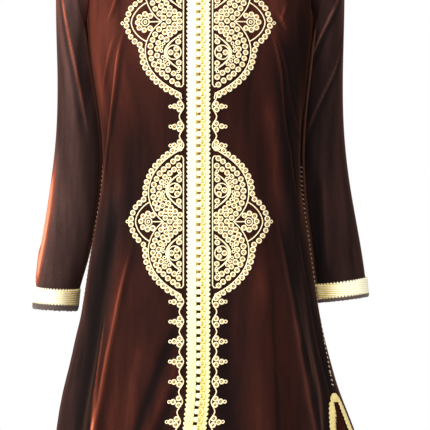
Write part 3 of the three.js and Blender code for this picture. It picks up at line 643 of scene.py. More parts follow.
crease_body_panel("front_right", FRONT_CREASES, 3, right_front_nap_with_painted_light, 0.27)
crease_body_panel("front_left", FRONT_CREASES, 5, left_front_nap_with_painted_light, 0.14)
crease_body_panel("back", BACK_CREASES, 8, back_nap_with_painted_light, 0.2)

# %% [markdown]
# ## Sleeves
# A sleeve's creases turn round the arm, slanting from the armhole to the elbow's bend. Its own frame is a
# leaning middle line, so the direction out and the way round are measured from that line: turn 0 is the outer
# edge, 90 the back, 180 beside the body and 270 the front. The table is as the fronts' is, but here top and
# foot are a turn in degrees and z, and bow is a turn.

# %% Sleeve creases
SLEEVE_MIDDLE = np.array([  # height, distance from the body's middle and y of the middle line, in millimetres
    (-690, 222, 8), (-600, 208, 16), (-450, 186, 19), (-330, 193, 16), (-200, 203, 8), (-50, 190, 4)],
    dtype=float)
SLEEVE_CREASES = {
    "sleeve_right": [
        Crease((294, -130), (250, -450), 3, 3, 0.4, shade=1),
        Crease((314, -120), (262, -420), 13, 2, 0.16),
        Crease((322, -270), (322, -520), 22, -2, -0.1, fade=0.35),
        Crease((262, -240), (246, -560), 20, -3, -0.1, fade=0.35),
        Crease((334, -380), (334, -730), 34, 0, 0.3, fade=0.5),
        Crease((330, -430), (325, -710), 17, 1, 0.52, fade=0.45),
        Crease((318, -540), (322, -664), 5, 2, 0.22, shade=-1),
        Crease((346, -590), (344, -664), 3, 2.4, 0.3, shade=-1),
        Crease((330, -600), (330, -664), 3, 2.2, 0.24, shade=-1),
        Crease((304, -610), (306, -664), 3, 1.8, 0.1, shade=1),
        Crease((20, -300), (140, -520), 9, 4, 0.2, shade=1),
        Crease((40, -420), (120, -600), 9, 3, 0.2, shade=1),
        Crease((70, -160), (100, -380), 9, 3, 0.14, shade=-1),
    ],
    "sleeve_left": [
        Crease((296, -190), (218, -360), 3, 3, 0.36, shade=1),
        Crease((332, -240), (224, -465), 3, 3, 0.24, shade=1, bow=-4),
        Crease((320, -300), (300, -620), 20, 1, 0.1, fade=0.35),
        Crease((268, -480), (240, -650), 7, 3, 0.1, shade=-1),
        Crease((256, -470), (226, -640), 8, -3, -0.14),
        Crease((318, -590), (326, -655), 3.5, 1.6, 0.06, shade=-1),
        Crease((20, -280), (140, -500), 9, 4, 0.16, shade=1),
        Crease((40, -400), (120, -590), 9, 3, 0.16, shade=1),
        Crease((70, -160), (100, -380), 9, 3, 0.12, shade=-1),
    ],
}
print({node: len(lines) for node, lines in SLEEVE_CREASES.items()}, "creases")

# %% Creased sleeves
SLEEVE_RADIUS = 50.0
UNDERARM = {"out": 5.0, "z": -255, "tall": 18, "turn": 165, "wide": 35}  # a fold bulges out against the body


def turn_apart(turn, other):
    """The signed difference of two turns in degrees, from -180 to 180."""
    return (turn - other + 180) % 360 - 180


def by_turn(turn, middle, width):
    """A smooth swell round the arm: 1 at its middle, a turn, and gone about two widths from it."""
    return np.exp(-(turn_apart(turn, middle) / width) ** 2)


def crease_sleeve(node, seed, base_nap_with_painted_light, painted_grey_cast):
    """Creases one sleeve and gives its pile painted light and shade; beside the body and near its ends it
    stays calm.
    """
    mesh = panels[node]
    side = 1 if node == "sleeve_left" else -1
    points = points_of(mesh)
    x, y, z = (points / MM).T
    middle_x, middle_y = (np.interp(z, SLEEVE_MIDDLE[:, 0], SLEEVE_MIDDLE[:, k]) for k in (1, 2))
    from_middle = np.stack([x * side - middle_x, y - middle_y])
    turn = np.degrees(np.arctan2(from_middle[1], from_middle[0])) % 360
    out = (from_middle / np.linalg.norm(from_middle, axis=0)).T * (side, 1)
    relief, lift = crease_fields(SLEEVE_CREASES[node], z,
                                 lambda middle: np.radians(turn_apart(turn, middle)) * SLEEVE_RADIUS)
    swell = unevenness(SLEEVE_RADIUS * np.sin(np.radians(turn)), z, seed)
    calm = ease((z + 668) / 14) * ease((-z - 70) / 120)
    by_body = ease((85 - np.abs(turn_apart(turn, 180))) / 30)
    underarm = (UNDERARM["out"] * bump_at(z, UNDERARM["z"], UNDERARM["tall"])
                * by_turn(turn, UNDERARM["turn"], UNDERARM["wide"]))
    points[:, :2] += out * (((relief + 0.8 * swell) * calm * (1 - 0.9 * by_body) + underarm) * MM)[:, None]
    inner = inner_side(mesh, np.column_stack([out, np.zeros_like(z)]))
    set_points(mesh, points)
    # the pile's tone follows the swells a little: painted light on their tops
    nap_and_painted_light = np.where(inner > 0, INNER_NAP_WITH_PAINTED_LIGHT, base_nap_with_painted_light(turn, z) + lift + 0.05 * swell)
    # a painted cast of the room's light, less near the shoulder and kept off the lighter pile
    below_shoulder = 0.3 + 0.7 * ease((-z - 90) / 110)
    set_pile(mesh, nap_and_painted_light, painted_grey_cast * below_shoulder * (1 - inner) * (1 - ease((nap_and_painted_light - 0.45) / 0.35)))
    print(node, "creased by up to", round(float(np.abs(relief).max()), 1), "mm")


def right_sleeve_nap_with_painted_light(turn, z):
    """Painted light along its outer edge, near the shoulder and beside the body."""
    edge = 0.14 * by_turn(turn, 352, 14)
    painted_light_upper_arm = 0.16 * by_turn(turn, 332, 18) * ease((z + 290) / 60)
    by_body = (0.12 + 0.12 * ease((z + 320) / 90)) * by_turn(turn, 220, 24) * ease((z + 420) / 60)
    return 0.39 + edge + 0.10 * ease((z + 300) / 120) + painted_light_upper_arm + by_body


def left_sleeve_nap_with_painted_light(turn, z):
    """Darker than the right one, with a painted highlight on its outer edge and painted shade beside the
    body.
    """
    edge, by_body = 0.08 * by_turn(turn, 350, 20), 0.14 * by_turn(turn, 215, 34)
    return 0.28 + 0.09 * ease((z + 420) / 200) + edge - by_body


crease_sleeve("sleeve_right", 21, right_sleeve_nap_with_painted_light, 0.36)
crease_sleeve("sleeve_left", 22, left_sleeve_nap_with_painted_light, 0.22)

# %% [markdown]
# Now the panels are pieces. Each stands for its solid, which is then left out of the picture, and rides on
# the tunic's one body.

# %% Show the cloth
for node, mesh in panels.items():
    show(mesh, node + "_velvet", velvet)
    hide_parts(node)

# %% [markdown]
# ## Laying things on the fronts
# Braid, cord and beads follow the cloth. A bounding volume tree of the two fronts answers where the cloth is
# at a given x and z: a ray is sent from before the chest straight back, and the hit point is lifted along
# the cloth's normal. The opening sways to the right near the hem, so x is counted from it.

# %% Finding the cloth
def tree_of(meshes):
    """One search tree over several meshes."""
    points, polygons = [], []
    for mesh in meshes:
        start = len(points)
        points.extend(Vector(p) for p in points_of(mesh))
        polygons.extend([start + v for v in polygon.vertices] for polygon in mesh.polygons)
    return BVHTree.FromPolygons(points, polygons)


fronts_tree = tree_of([panels["front_left"], panels["front_right"]])
SWAY = np.array([  # height, and x of the opening there, in millimetres
    (-1060, -19), (-960, -14), (-867, -6), (-812, -0.6), (-760, 0), (-640, 0), (-540, 0)], dtype=float)


def sway(z):
    """How far the opening has swayed to the right at a height, smoothly joined from row to row."""
    last = len(SWAY) - 1
    row = min(max(int(np.searchsorted(SWAY[:, 0], z)) - 1, 0), last - 1)

    def slope(i):
        low, high = SWAY[max(i - 1, 0)], SWAY[min(i + 1, last)]
        return (high[1] - low[1]) / (high[0] - low[0])

    span = SWAY[row + 1, 0] - SWAY[row, 0]
    t = min(max((z - SWAY[row, 0]) / span, 0), 1)
    level = (1 + 2 * t) * (1 - t) ** 2 * SWAY[row, 1] + t * t * (3 - 2 * t) * SWAY[row + 1, 1]
    return level + (t * (1 - t) ** 2 * slope(row) + t * t * (t - 1) * slope(row + 1)) * span


BEFORE_CHEST = -0.6  # y that the rays start from


def on_front(x, z, lift):
    """The point at x from the opening's line and height z, lifted off the cloth: mm in, metres out."""
    for beside in (0, -0.5, 0.5):  # a ray that slips between the fronts is cast again beside the seam
        start = Vector(((x + sway(z) + beside) * MM, BEFORE_CHEST, z * MM))
        hit, normal, _, _ = fronts_tree.ray_cast(start, Vector((0, 1, 0)))
        if hit is not None and hit.y <= 0:
            return hit + normal * (lift * MM)
    return None


print("opening's middle:", [round(v, 3) for v in on_front(0, -500, 0)])


# %% Cords
def cord_mesh(paths, radius):
    """A mesh of round cord along paths, each a list of points in metres and whether it closes on itself."""
    curve = bpy.data.curves.new("cord", "CURVE")
    curve.dimensions = "3D"
    curve.bevel_depth = radius
    curve.bevel_resolution = 1
    curve.use_fill_caps = True
    for points, closed in paths:
        spline = curve.splines.new("POLY")
        spline.points.add(len(points) - 1)
        spline.points.foreach_set("co", [v for p in points for v in (*p, 1.0)])
        spline.use_cyclic_u = closed
    return as_mesh(curve)


SPAN_STEPS = 24


def resample(points, step, closed=False):
    """A smooth line through points, cut into steps of one length, by Catmull-Rom pieces."""
    count = len(points)
    dense = []
    spans = count if closed else count - 1
    for i in range(spans):
        near = [(i + k) % count if closed else min(max(i + k, 0), count - 1) for k in (-1, 0, 1, 2)]
        p = [points[k] for k in near]
        for n in range(SPAN_STEPS):
            t = n / SPAN_STEPS
            dense.append(0.5 * (2 * p[1] + (p[2] - p[0]) * t + (2 * p[0] - 5 * p[1] + 4 * p[2] - p[3]) * t * t
                                + (3 * p[1] - p[0] - 3 * p[2] + p[3]) * t ** 3))
    dense.append(points[0] if closed else points[-1])
    runs = np.concatenate([[0], np.cumsum([(b - a).length for a, b in zip(dense, dense[1:])])])
    places = np.linspace(0, runs[-1], max(int(runs[-1] / step), 2) + 1)
    rows = np.array([tuple(p) for p in dense])
    return [Vector(np.array([np.interp(s, runs, rows[:, k]) for k in range(3)])) for s in places]


# %% [markdown]
# ## Braids of the opening
# The right front carries a wide braid and the left front a narrow one. Each is flat lurex weaving, whose
# outer edge is worked in slanting teeth 6.7 mm apart. A braid is skinned as one closed ribbon: its section
# is laid out across the cloth, and the toothed edge is let out and in as the section travels down.

# %% Ribbon of braid
TOOTH_PITCH, TOOTH_DEPTH = 6.7, 2.6
STEP_DOWN = TOOTH_PITCH / 9
BRAID_THICKNESS = 1.5
PLAIN_EDGE = 0.6  # how full an edge without teeth is


def tooth(run):
    """How far a tooth stands out along the edge, from 0 to 1: a quick rise and a slow fall."""
    return math.sin(math.pi * (run / TOOTH_PITCH % 1) ** 0.6) ** 1.1


def skin(rows, closed_ends=True):
    """A closed tube through rows of points, each row one section: a grid wrapped round and sewn up."""
    around, down = len(rows[0]), len(rows) - 1
    bm = bmesh.new()
    bmesh.ops.create_grid(bm, x_segments=around, y_segments=down, size=1.0)
    half = max(vert.co.x for vert in bm.verts)
    for vert in bm.verts:
        place = (vert.co / half + Vector((1, 1, 0))) / 2
        vert.co = rows[round(place.y * down)][round(place.x * around) % around]
    bmesh.ops.remove_doubles(bm, verts=bm.verts, dist=1e-6)
    if closed_ends:
        bmesh.ops.holes_fill(bm, edges=[edge for edge in bm.edges if edge.is_boundary], sides=0)
    bmesh.ops.recalc_face_normals(bm, faces=bm.faces)
    return mesh_of(bm)


def ribbon_section(tooth_near, tooth_far):
    """(share across, lift in mm) of a ribbon's section, its top first, thinner where a tooth draws in."""
    top = [(0, 0.5 + 0.5 * tooth_near), (0.07, 1.0 + 0.3 * tooth_near), (0.2, BRAID_THICKNESS),
           (0.5, BRAID_THICKNESS + 0.1), (0.8, BRAID_THICKNESS), (0.93, 1.0 + 0.3 * tooth_far),
           (1, 0.5 + 0.5 * tooth_far)]
    return top + [(1, 0.15), (0.5, 0.15), (0, 0.15)]


def braid_on_front(from_x, to_x, toothed, heights):
    """A braid down the front from one x to another; toothed names its toothed edges, -1 and 1."""
    rows = []
    for z in heights:
        teeth = [tooth(-z) if side in toothed else PLAIN_EDGE for side in (-1, 1)]
        near = from_x - (TOOTH_DEPTH * teeth[0] if -1 in toothed else 0)
        far = to_x + (TOOTH_DEPTH * teeth[1] if 1 in toothed else 0)
        row = [on_front(near + (far - near) * share, z, lift) for share, lift in ribbon_section(*teeth)]
        if all(place is not None for place in row):
            rows.append(row)
    return skin(rows)


# %% Placket braids
HEM_Z, NECK_Z = -1058.5, -93
braid_heights = np.arange(NECK_Z, HEM_Z, -STEP_DOWN)
wide_braid = show(braid_on_front(-16.4, -4.4, (-1,), braid_heights), "wide_placket_braid",
                  braid_upright)
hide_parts("placket_braid_wide")
narrow_braid = show(braid_on_front(8.4, 13.6, (1,), braid_heights), "narrow_placket_braid",
                    braid_upright)
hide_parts("placket_braid_narrow")
print("placket braids", len(wide_braid.data.polygons), "and", len(narrow_braid.data.polygons), "faces")

# %% [markdown]
# ## Knot buttons
# Each button is a ball knot of silk cord, a Turk's head: the cord runs round three times and weaves up and
# down four. It sits on a small core beside the wide braid. Its loop is a coil of gold cord that fills the
# way from the button to the narrow braid, on a ground of the same gold.

# %% A knot and a ball
BUTTON_WIDE, BUTTON_TALL, BUTTON_RISE = 3.8, 4.4, 3.1  # half sizes of a knot
KNOT_STEPS = 42


def knot_path(place, across, down, out):
    """A Turk's head on a ball: three turns, four bights."""
    points = []
    for n in range(KNOT_STEPS):
        t = 6 * math.pi * n / KNOT_STEPS
        lat = 0.95 * math.sin(4 * t / 3)
        over = 0.82 + 0.06 * math.cos(8 * t / 3)
        points.append(place + MM * over * (across * (BUTTON_WIDE * math.cos(lat) * math.cos(t))
                                           + down * (BUTTON_TALL * math.sin(lat))
                                           + out * (BUTTON_RISE * math.cos(lat) * math.sin(t))))
    return points


def add_ball(bm, place, axes, sizes):
    """A ball squashed to three half sizes along three directions."""
    made = bmesh.ops.create_icosphere(bm, subdivisions=1, radius=1.0)
    for vert in made["verts"]:
        vert.co = place + sum((axis * (vert.co[k] * sizes[k] * MM) for k, axis in enumerate(axes)), Vector())


def line_down_front(x):
    """Points down the front at one distance from the opening, with outward normals."""
    points = [on_front(x, z, 0) for z in np.arange(NECK_Z + 1, HEM_Z, -0.5)]
    points = [point for point in points if point is not None]
    normals = []
    for i in range(len(points)):
        tangent = points[min(i + 1, len(points) - 1)] - points[max(i - 1, 0)]
        normals.append(Vector((0, tangent.z, -tangent.y)).normalized())
    return points, normals


# %% Buttons and loops
BUTTONS, BUTTON_PITCH, FIRST_BUTTON = 78, 11.7, 9.0
BUTTON_X, LOOP_X, LOOP_WIDE, LOOP_TALL = -0.6, 5.0, 3.3, 4.4
KNOT_LIFT, LOOP_LIFT = 2.7, 2.1  # how far the middles of knot and loop stand off the cloth
LOOP_TURN = np.linspace(0, 2 * math.pi, 14, False)

button_line, button_out = line_down_front(BUTTON_X)
loop_line, loop_out = line_down_front(LOOP_X)
runs = np.concatenate([[0], np.cumsum([(b - a).length for a, b in zip(button_line, button_line[1:])])]) / MM
knots, loops, cores, loop_hearts = [], [], bmesh.new(), bmesh.new()
for n in range(BUTTONS):
    i = int(np.searchsorted(runs, FIRST_BUTTON + n * BUTTON_PITCH))
    if i >= len(button_line) - 2:
        break
    out, down = button_out[i], (button_line[i + 1] - button_line[i]).normalized()
    across = out.cross(down)
    across = across if across.x > 0 else -across
    place = button_line[i] + out * (KNOT_LIFT * MM)
    knots.append((knot_path(place, across, down, out), True))
    add_ball(cores, place, (across, out, down), (BUTTON_WIDE * 0.8, 2.4, BUTTON_TALL * 0.8))
    heart = loop_line[i] + loop_out[i] * (LOOP_LIFT * MM)
    tilt = 0.35 * math.sin(2.4 * n)
    coil = [heart + MM * (across * (LOOP_WIDE * math.cos(a)) + down * (LOOP_TALL * math.sin(a))
                          + out * (0.5 * math.cos(a + tilt))) for a in LOOP_TURN]
    loops.append((coil, True))
    add_ball(loop_hearts, heart + out * 0.1 * MM + across * (0.5 * MM), (across, out, down), (1.9, 1.4, 2.6))
print(len(knots), "buttons")

# %% [markdown]
# A plain ribbon lies under the loops. Another lies under the knots down to the foot of the second ornament,
# coloured the dull olive of gold in deep shade: a braid ground with painted shade. Below that the velvet
# shows between the knots.

# %% Show the row of buttons
KNOT_GROUND_FOOT = -650

buttons = show(cord_mesh(knots, 1.2 * MM), "knot_buttons", knot_cord)
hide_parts("buttons_upper", "buttons_middle", "buttons_lower")
button_cores = show(mesh_of(cores), "knot_cores", knot_cord)
button_loops = show(cord_mesh(loops, 1.35 * MM), "button_loops", loop_cord)
loop_knots = show(mesh_of(loop_hearts), "loop_knots", loop_core)
loop_ground = show(braid_on_front(1.2, 8.6, (), np.arange(NECK_Z, HEM_Z, -4.0)), "loop_ground",
                   loop_core)
knot_ground_painted_shade = show(braid_on_front(-4.2, 1.0, (), np.arange(NECK_Z, KNOT_GROUND_FOOT, -4.0)), "knot_ground_painted_shade",
                   painted_shade_braid)
print("knots", len(buttons.data.polygons), "and loops", len(button_loops.data.polygons), "faces")

# %% [markdown]
# ## Embroidery
# Gold cord is couched down in lines, and small rings of the same cord, each with an amber bead, are set side
# by side in rows. The ornament is drawn once, as a half: u runs outwards from the straight cord and w up or
# down from the ornament's middle. A lobe stands on the cord, with a pointed eye, and a petal reaches out
# between the two lobes. Rows of rings follow the lobe inside and outside, and where room is left between
# the rows and the eye, smaller rings fill it.

# %% Curves of the ornament
STRAIGHT = {-1: -23.6, 1: 19.4}  # x of the straight cord on the right front (-1) and the left front (1)
MEDALLIONS = [  # height of the middle, and how wide the ornament is sewn on the right and left fronts
    {"z": -262, -1: 1.0, 1: 1.0},
    {"z": -559, -1: 0.92, 1: 0.95},
]
LOBE_WIDE, LOBE_MIDDLE, LOBE_FOOT = 56.5, 43, 107  # reach of a lobe's line, at what w, and where it ends
FLOWER = {"u": 56.5, "circle": 5.6, "crown": 11.8, "rings": 7}
EYE = {"tip": 28, "middle": 46.5, "half": 27, "circle": 10.5}


CURVE_STEPS = 24


def bezier(a, b, c, d):
    """A cubic curve through the plane from a to d."""
    line = []
    for t in np.linspace(0, 1, CURVE_STEPS):
        s = 1 - t
        line.append(tuple(s ** 3 * a[k] + 3 * s * s * t * b[k] + 3 * s * t * t * c[k] + t ** 3 * d[k]
                          for k in (0, 1)))
    return line


def lobe_line(inset, start, foot):
    """A curve that follows the lobe at an inset, from a start near the notch to a foot near the cord."""
    reach = LOBE_WIDE - inset
    upper = bezier(start, (start[0] + 10, start[1] + 6), (reach, LOBE_MIDDLE - 20), (reach, LOBE_MIDDLE))
    lower = bezier((reach, LOBE_MIDDLE), (reach, LOBE_MIDDLE + 31 - inset * 0.4),
                   (30 - inset * 0.5, foot[1] - 12), foot)
    return upper + lower[1:]


def circle(u, w, radius, steps=12):
    """Places round a circle, the last one short of the first."""
    turns = np.linspace(0, 2 * math.pi, steps, False)
    return [(u + radius * math.cos(a), w + radius * math.sin(a)) for a in turns]


print("lobe's line:", len(lobe_line(0, (32, 0), (4, LOBE_FOOT))), "places")


# %% Cords of the ornament
EYE_CORDS = (0, 2.0)  # how far each cord round the eye stands in from its tip


def ornament_lines():
    """The cords of the upper half and the middle: outline, petal, eye and flower."""
    outline = lobe_line(0, (32, 0), (4, LOBE_FOOT)) + [(2.5, LOBE_FOOT + 8)]
    petal = bezier((55, 29), (66, 24), (77, 12), (78, 0))
    middle, half, tip = EYE["middle"], EYE["half"], EYE["tip"]
    eye = []
    for inset in EYE_CORDS:
        point = (tip - inset, middle)
        upper = bezier((3, middle - half), (12, middle - 0.75 * half), (point[0], middle - 12), point)
        lower = bezier(point, (point[0], middle + 12), (12, middle + 0.75 * half), (3, middle + half))
        eye.append(upper + lower[1:])
    ring = circle(14, middle, EYE["circle"], 24)
    return [outline, petal, *eye, ring + ring[:1]]


print(len(ornament_lines()), "cords in the half")


# %% Rings of the ornament
RING, RING_CORD, RING_PITCH = 3.2, 1.3, 9.4  # radius of a ring's middle line, of its cord, and ring spacing
RING_OUT = RING + RING_CORD
SMALL_RING, SMALL_CORD = 2.1, 0.9


def evenly(line, pitch):
    """Places about "pitch" millimetres apart along a line, with one at each end."""
    runs = np.concatenate([[0], np.cumsum([math.dist(a, b) for a, b in zip(line, line[1:])])])
    places = np.linspace(0, runs[-1], max(int(round(runs[-1] / pitch)), 1) + 1)
    u, w = np.array(line).T
    return [(float(np.interp(s, runs, u)), float(np.interp(s, runs, w))) for s in places]


def ornament_rings():
    """The large rings of the upper half, row by row."""
    bottom = lobe_line(-5.6, (61, 34), (9, LOBE_FOOT + 2.5))[26:]
    chain = bezier((85, 4.6), (83, 18), (75, 27), (63, 35)) + bottom
    rings = evenly(chain, RING_PITCH)
    rings += evenly(lobe_line(7.8, (22, 0), (9, 94)), RING_PITCH)
    rings += evenly(lobe_line(17.4, (13, 4.9), (7, 83)), RING_PITCH)
    middle = EYE["middle"]
    rings += [(18.6, middle), (10.2, middle + 4.9), (10.2, middle - 4.9)]
    return rings + [(7, middle - 16), (7, middle + 16)]


print(len(ornament_rings()), "large rings in the half")


# %% The whole ornament
def fill(rings, lines, out, room):
    """Sets further rings, "out" in radius, inside the lobe where they stand clear of rings and lines."""
    line_points = np.array([place for line in lines for place in line])
    taken = [(u, w, RING_OUT) for u, w in rings]
    filled = []
    for w in np.arange(0, 92, 1.0):
        reach = 46 - max(w - 50, 0) * 0.9
        for u in np.arange(out + 1.4, min(reach, 25 + 2 * w), 1.0):
            if np.min(np.hypot(*(line_points - (u, w)).T)) < out + 0.7:
                continue
            clear = all(math.hypot(u - a, w - b) > out + size - room for a, b, size in taken)
            if clear and (w == 0 or w > out - room):
                filled.append((u, w))
                taken.append((u, w, out))
    return filled


def mirrored(places):
    """The places of the upper half, turned over into the lower; those on the middle are left."""
    return [(u, -w) for u, w in places if w > 0.5]


def ornament():
    """One whole ornament: its cords, large rings and small rings, as (u, w)."""
    lines, rings = ornament_lines(), ornament_rings()
    rings += fill(rings, lines, RING_OUT, 0.5)
    small = fill(rings, lines, SMALL_RING + SMALL_CORD, 0.3)
    middle = EYE["middle"]
    small += [(6, middle - 23.2), (6, middle + 23.2)]
    lines += [[(u, -w) for u, w in line] for line in lines]
    rings += mirrored(rings)
    small += mirrored(small)
    middle = FLOWER["u"]
    lines.append([(32, 0), (middle - 12, 0), (middle - FLOWER["circle"], 0)])
    lines.append(circle(middle, 0, FLOWER["circle"], 18) + [(middle + FLOWER["circle"], 0)])
    small.append((middle, 0))
    rings += [(middle + FLOWER["crown"] * math.cos(a), FLOWER["crown"] * math.sin(a))
              for a in np.radians(np.linspace(-127, 127, FLOWER["rings"]))]
    small.append((91.5, 0))
    return lines, rings, small


ORNAMENT = ornament()
print("ornament:", [len(part) for part in ORNAMENT], "cords, rings and small rings")

# %% [markdown]
# Above, between and below the ornaments a wavy cord runs down beside the braid. In each of its dips sits a
# picot: three rings in a triangle and a small one at the tip.

# %% Picots
PICOT_PITCH = 29.1
PICOTS = [-112, -141.5] + [-388.5, -418, -446] + [-677 - PICOT_PITCH * n for n in range(14)]
PICOT_RINGS, PICOT_TIP = [(5.4, 4.6), (5.4, -4.6), (13.2, 0)], [(19.2, 0)]
WAVY_CORDS = [(-100, -152), (-374, -452), (-672, HEM_Z)]  # top and foot of each
WAVE, WAVE_IN = 6.4, 0.4  # how far the cord swings out, and how far its dips reach in


def wavy_cord(top, foot):
    """The cord that dips towards the opening at each picot and swings out between them."""
    line = []
    for z in np.arange(top, foot, -1.5):
        nearest = min(abs(z - middle) for middle in PICOTS)
        line.append((WAVE * ease(nearest / (PICOT_PITCH / 2)) - WAVE_IN, z))
    return line


print(len(PICOTS), "picots on each front")


# %% One front's embroidery
HOOK = [(7, 97), (2.5, 97.5), (0, 94)]  # the straight cord's ends turn outwards


def moved(places, z, wide=1.0):
    """Places of a shape, sewn so wide, round a middle at one height."""
    return [(u * wide, z + w) for u, w in places]


def whole_side(side):
    """All cords, rings and small rings of one front, as (u, z)."""
    lines, rings, small = [], [], []
    straight = HOOK + [(0, w) for w in np.arange(90, -91, -3.0)] + [(u, -w) for u, w in HOOK[::-1]]
    for medallion in MEDALLIONS:
        z, wide = medallion["z"], medallion[side]
        lines += [moved(line, z, wide) for line in ORNAMENT[0]] + [moved(straight, z)]
        rings += moved(ORNAMENT[1], z, wide)
        small += moved(ORNAMENT[2], z, wide)
    for middle in PICOTS:
        rings += moved(PICOT_RINGS, middle)
        small += moved(PICOT_TIP, middle)
    return lines + [wavy_cord(top, foot) for top, foot in WAVY_CORDS], rings, small


print({side: [len(part) for part in whole_side(side)] for side in (-1, 1)})


# %% Cord on the cloth
def by_hand(places, seed):
    """Places as a hand sets them, up to half a millimetre off."""
    draw = np.random.default_rng(seed)
    return [(u + draw.uniform(-0.5, 0.5), z + draw.uniform(-0.5, 0.5)) for u, z in places]


def laid_cord(side, lines, lift, radius, closed=False):
    """A mesh of cord along flat lines laid on one front; what runs off the cloth is left out."""
    shortest = 8 if closed else 3
    paths = []
    for line in lines:
        laid = [on_front(STRAIGHT[side] + side * u, z, lift) for u, z in line]
        laid = [place for place in laid if place is not None]
        if len(laid) >= shortest:
            paths.append((laid, closed))
    return cord_mesh(paths, radius * MM)


def laid_beads(side, places):
    """A mesh of beads on one front."""
    axes = (Vector((1, 0, 0)), Vector((0, 1, 0)), Vector((0, 0, 1)))
    bm = bmesh.new()
    for u, z in places:
        place = on_front(STRAIGHT[side] + side * u, z, BEAD_LIFT)
        if place is not None:
            add_ball(bm, place, axes, (BEAD, BEAD, BEAD))
    return mesh_of(bm)


# %% Show the embroidery
COUCHED_CORD, CORD_LIFT, RING_LIFT = 0.95, 0.8, 0.9
BEAD, BEAD_LIFT = 1.4, 0.6
for side, name in ((-1, "right"), (1, "left")):
    lines, rings, small = whole_side(side)
    rings = by_hand(rings, 31 + side)
    sizes = np.random.default_rng(41 + side).uniform(0.92, 1.06, len(rings)) * RING
    large_circles = [circle(u, z, size) for (u, z), size in zip(rings, sizes)]
    small_circles = [circle(u, z, SMALL_RING, 9) for u, z in small]
    show(laid_cord(side, lines, CORD_LIFT, COUCHED_CORD), "couched_cord_" + name,
             stitch_cord)
    show(laid_cord(side, large_circles, RING_LIFT, RING_CORD, True), "rings_" + name, stitch_cord)
    show(laid_cord(side, small_circles, CORD_LIFT, SMALL_CORD, True), "small_rings_" + name, stitch_cord)
    show(laid_beads(side, rings), "amber_beads_" + name, bead_glass)
    print(name, "front:", len(rings), "rings,", len(small), "small")

# %% [markdown]
# ## Cuffs
# The cuff's braid is the same lurex weaving, wider, with teeth at its top and bottom and the ribs of its
# weave lying level. Below it a dark crocheted edging is worked in tiny arches. Both could be modelled from
# rings, but the cuffs are not round, so they are led along the rims of their own solids.

# %% Rims of a cuff
LEVEL_FACE = 0.6  # a face whose normal's z is less than this stands upright


def cuff_rims(node):
    """The lower and upper rims of a ring-shaped solid's outer face, as closed lines, and its middle."""
    bm = welded(node)
    middle = sum((vert.co for vert in bm.verts), Vector()) / len(bm.verts)
    rims = {"low": [], "high": []}
    for vert in bm.verts:
        away = (vert.co - middle).to_2d().to_3d().normalized()
        sides = [face.normal for face in vert.link_faces if abs(face.normal.z) < LEVEL_FACE]
        if sum(normal.dot(away) for normal in sides) > 0:
            on_top = any(face.normal.z > LEVEL_FACE for face in vert.link_faces)
            rims["high" if on_top else "low"].append(vert.co.copy())
    bm.free()

    def turn(point):
        return math.atan2(point.y - middle.y, point.x - middle.x)

    low, high = sorted(rims["low"], key=turn), sorted(rims["high"], key=turn)
    start = min(range(len(high)), key=lambda i: (high[i] - low[0]).xy.length)
    return low, high[start:] + high[:start], middle


print("rims of", len(cuff_rims("cuff_braid_left")[0]), "points")


# %% Cuff braids
CUFF_TEETH, CUFF_TOOTH, TOOTH_STEPS = 50, 3.6, 8  # teeth round the arm, their height in mm, and steps in each
CUFF_RIBS, CUFF_RIB_HIGH, CUFF_THICK = 6, 0.35, 1.6


def resample_closed(points, count):
    """A closed line through points, cut into equal steps."""
    line = resample(points, 0.5 * MM, closed=True)
    picks = np.linspace(0, len(line) - 1, count + 1)[:-1]
    return [line[int(k)].lerp(line[min(int(k) + 1, len(line) - 1)], k - int(k)) for k in picks]


def cuff_ribbon(low, high, middle):
    """The cuff's braid: a ribbon round the arm, toothed above and below, with level ribs."""
    count = CUFF_TEETH * TOOTH_STEPS
    last = 2 * CUFF_RIBS
    rows = []
    for n, (foot, top) in enumerate(zip(resample_closed(low, count), resample_closed(high, count))):
        out = Vector((foot.x - middle.x, foot.y - middle.y, 0)).normalized()
        up = (top - foot).normalized()
        teeth = CUFF_TOOTH * MM * math.sin(math.pi * (n % TOOTH_STEPS) / TOOTH_STEPS)
        start, end = foot - up * (teeth - 2.2 * MM), top + up * (teeth - 2.0 * MM)
        row = []
        for k in range(last + 1):
            share = k / last
            rib = CUFF_RIB_HIGH * math.sin(math.pi * CUFF_RIBS * share) ** 2 if 0 < k < last else -0.5
            row.append(start.lerp(end, share) + out * (rib * MM))
        rows.append(row + [edge - out * (CUFF_THICK * MM) for edge in (end, start)])
    return skin(rows + [rows[0]], closed_ends=False)


print(CUFF_TEETH, "teeth round each cuff")

# %% Crocheted edging
EDGING_DEPTH = {"left": 0.8, "right": 1.45}  # the edging has been worked deeper on the right cuff
EDGING_STEP, ARCH_LONG, THREAD = 0.6, 3.6, 1.1
CHAIN_LEVELS = (0.1, 0.3, 0.5, 0.7)  # level rows of thread, as shares of the edging's depth


def edging_paths(low, high, middle, depth):
    """Two rows of arches that overlap by half, slightly ragged, and level rows of thread behind them."""
    line = resample(high, EDGING_STEP * MM, closed=True)
    drop = (sum(low, Vector()) - sum(high, Vector())) / len(low) * depth
    paths = []
    for phase in (0, 1):
        arch = []
        for n, p in enumerate(line):
            wave = math.pi * n * EDGING_STEP / ARCH_LONG + phase * math.pi / 2
            ragged = 0.12 * math.sin(n * 0.71 + phase) * math.sin(n * 0.173)
            out = Vector((p.x - middle.x, p.y - middle.y, 0)).normalized()
            reach = 0.1 + (0.85 + ragged) * abs(math.sin(wave))
            arch.append(p + drop * reach + out * (0.5 * MM * math.cos(2 * wave)))
        paths.append((arch, False))
    return paths + [([p + drop * level for p in line], False) for level in CHAIN_LEVELS]


print(2 + len(CHAIN_LEVELS), "threads in each edging")

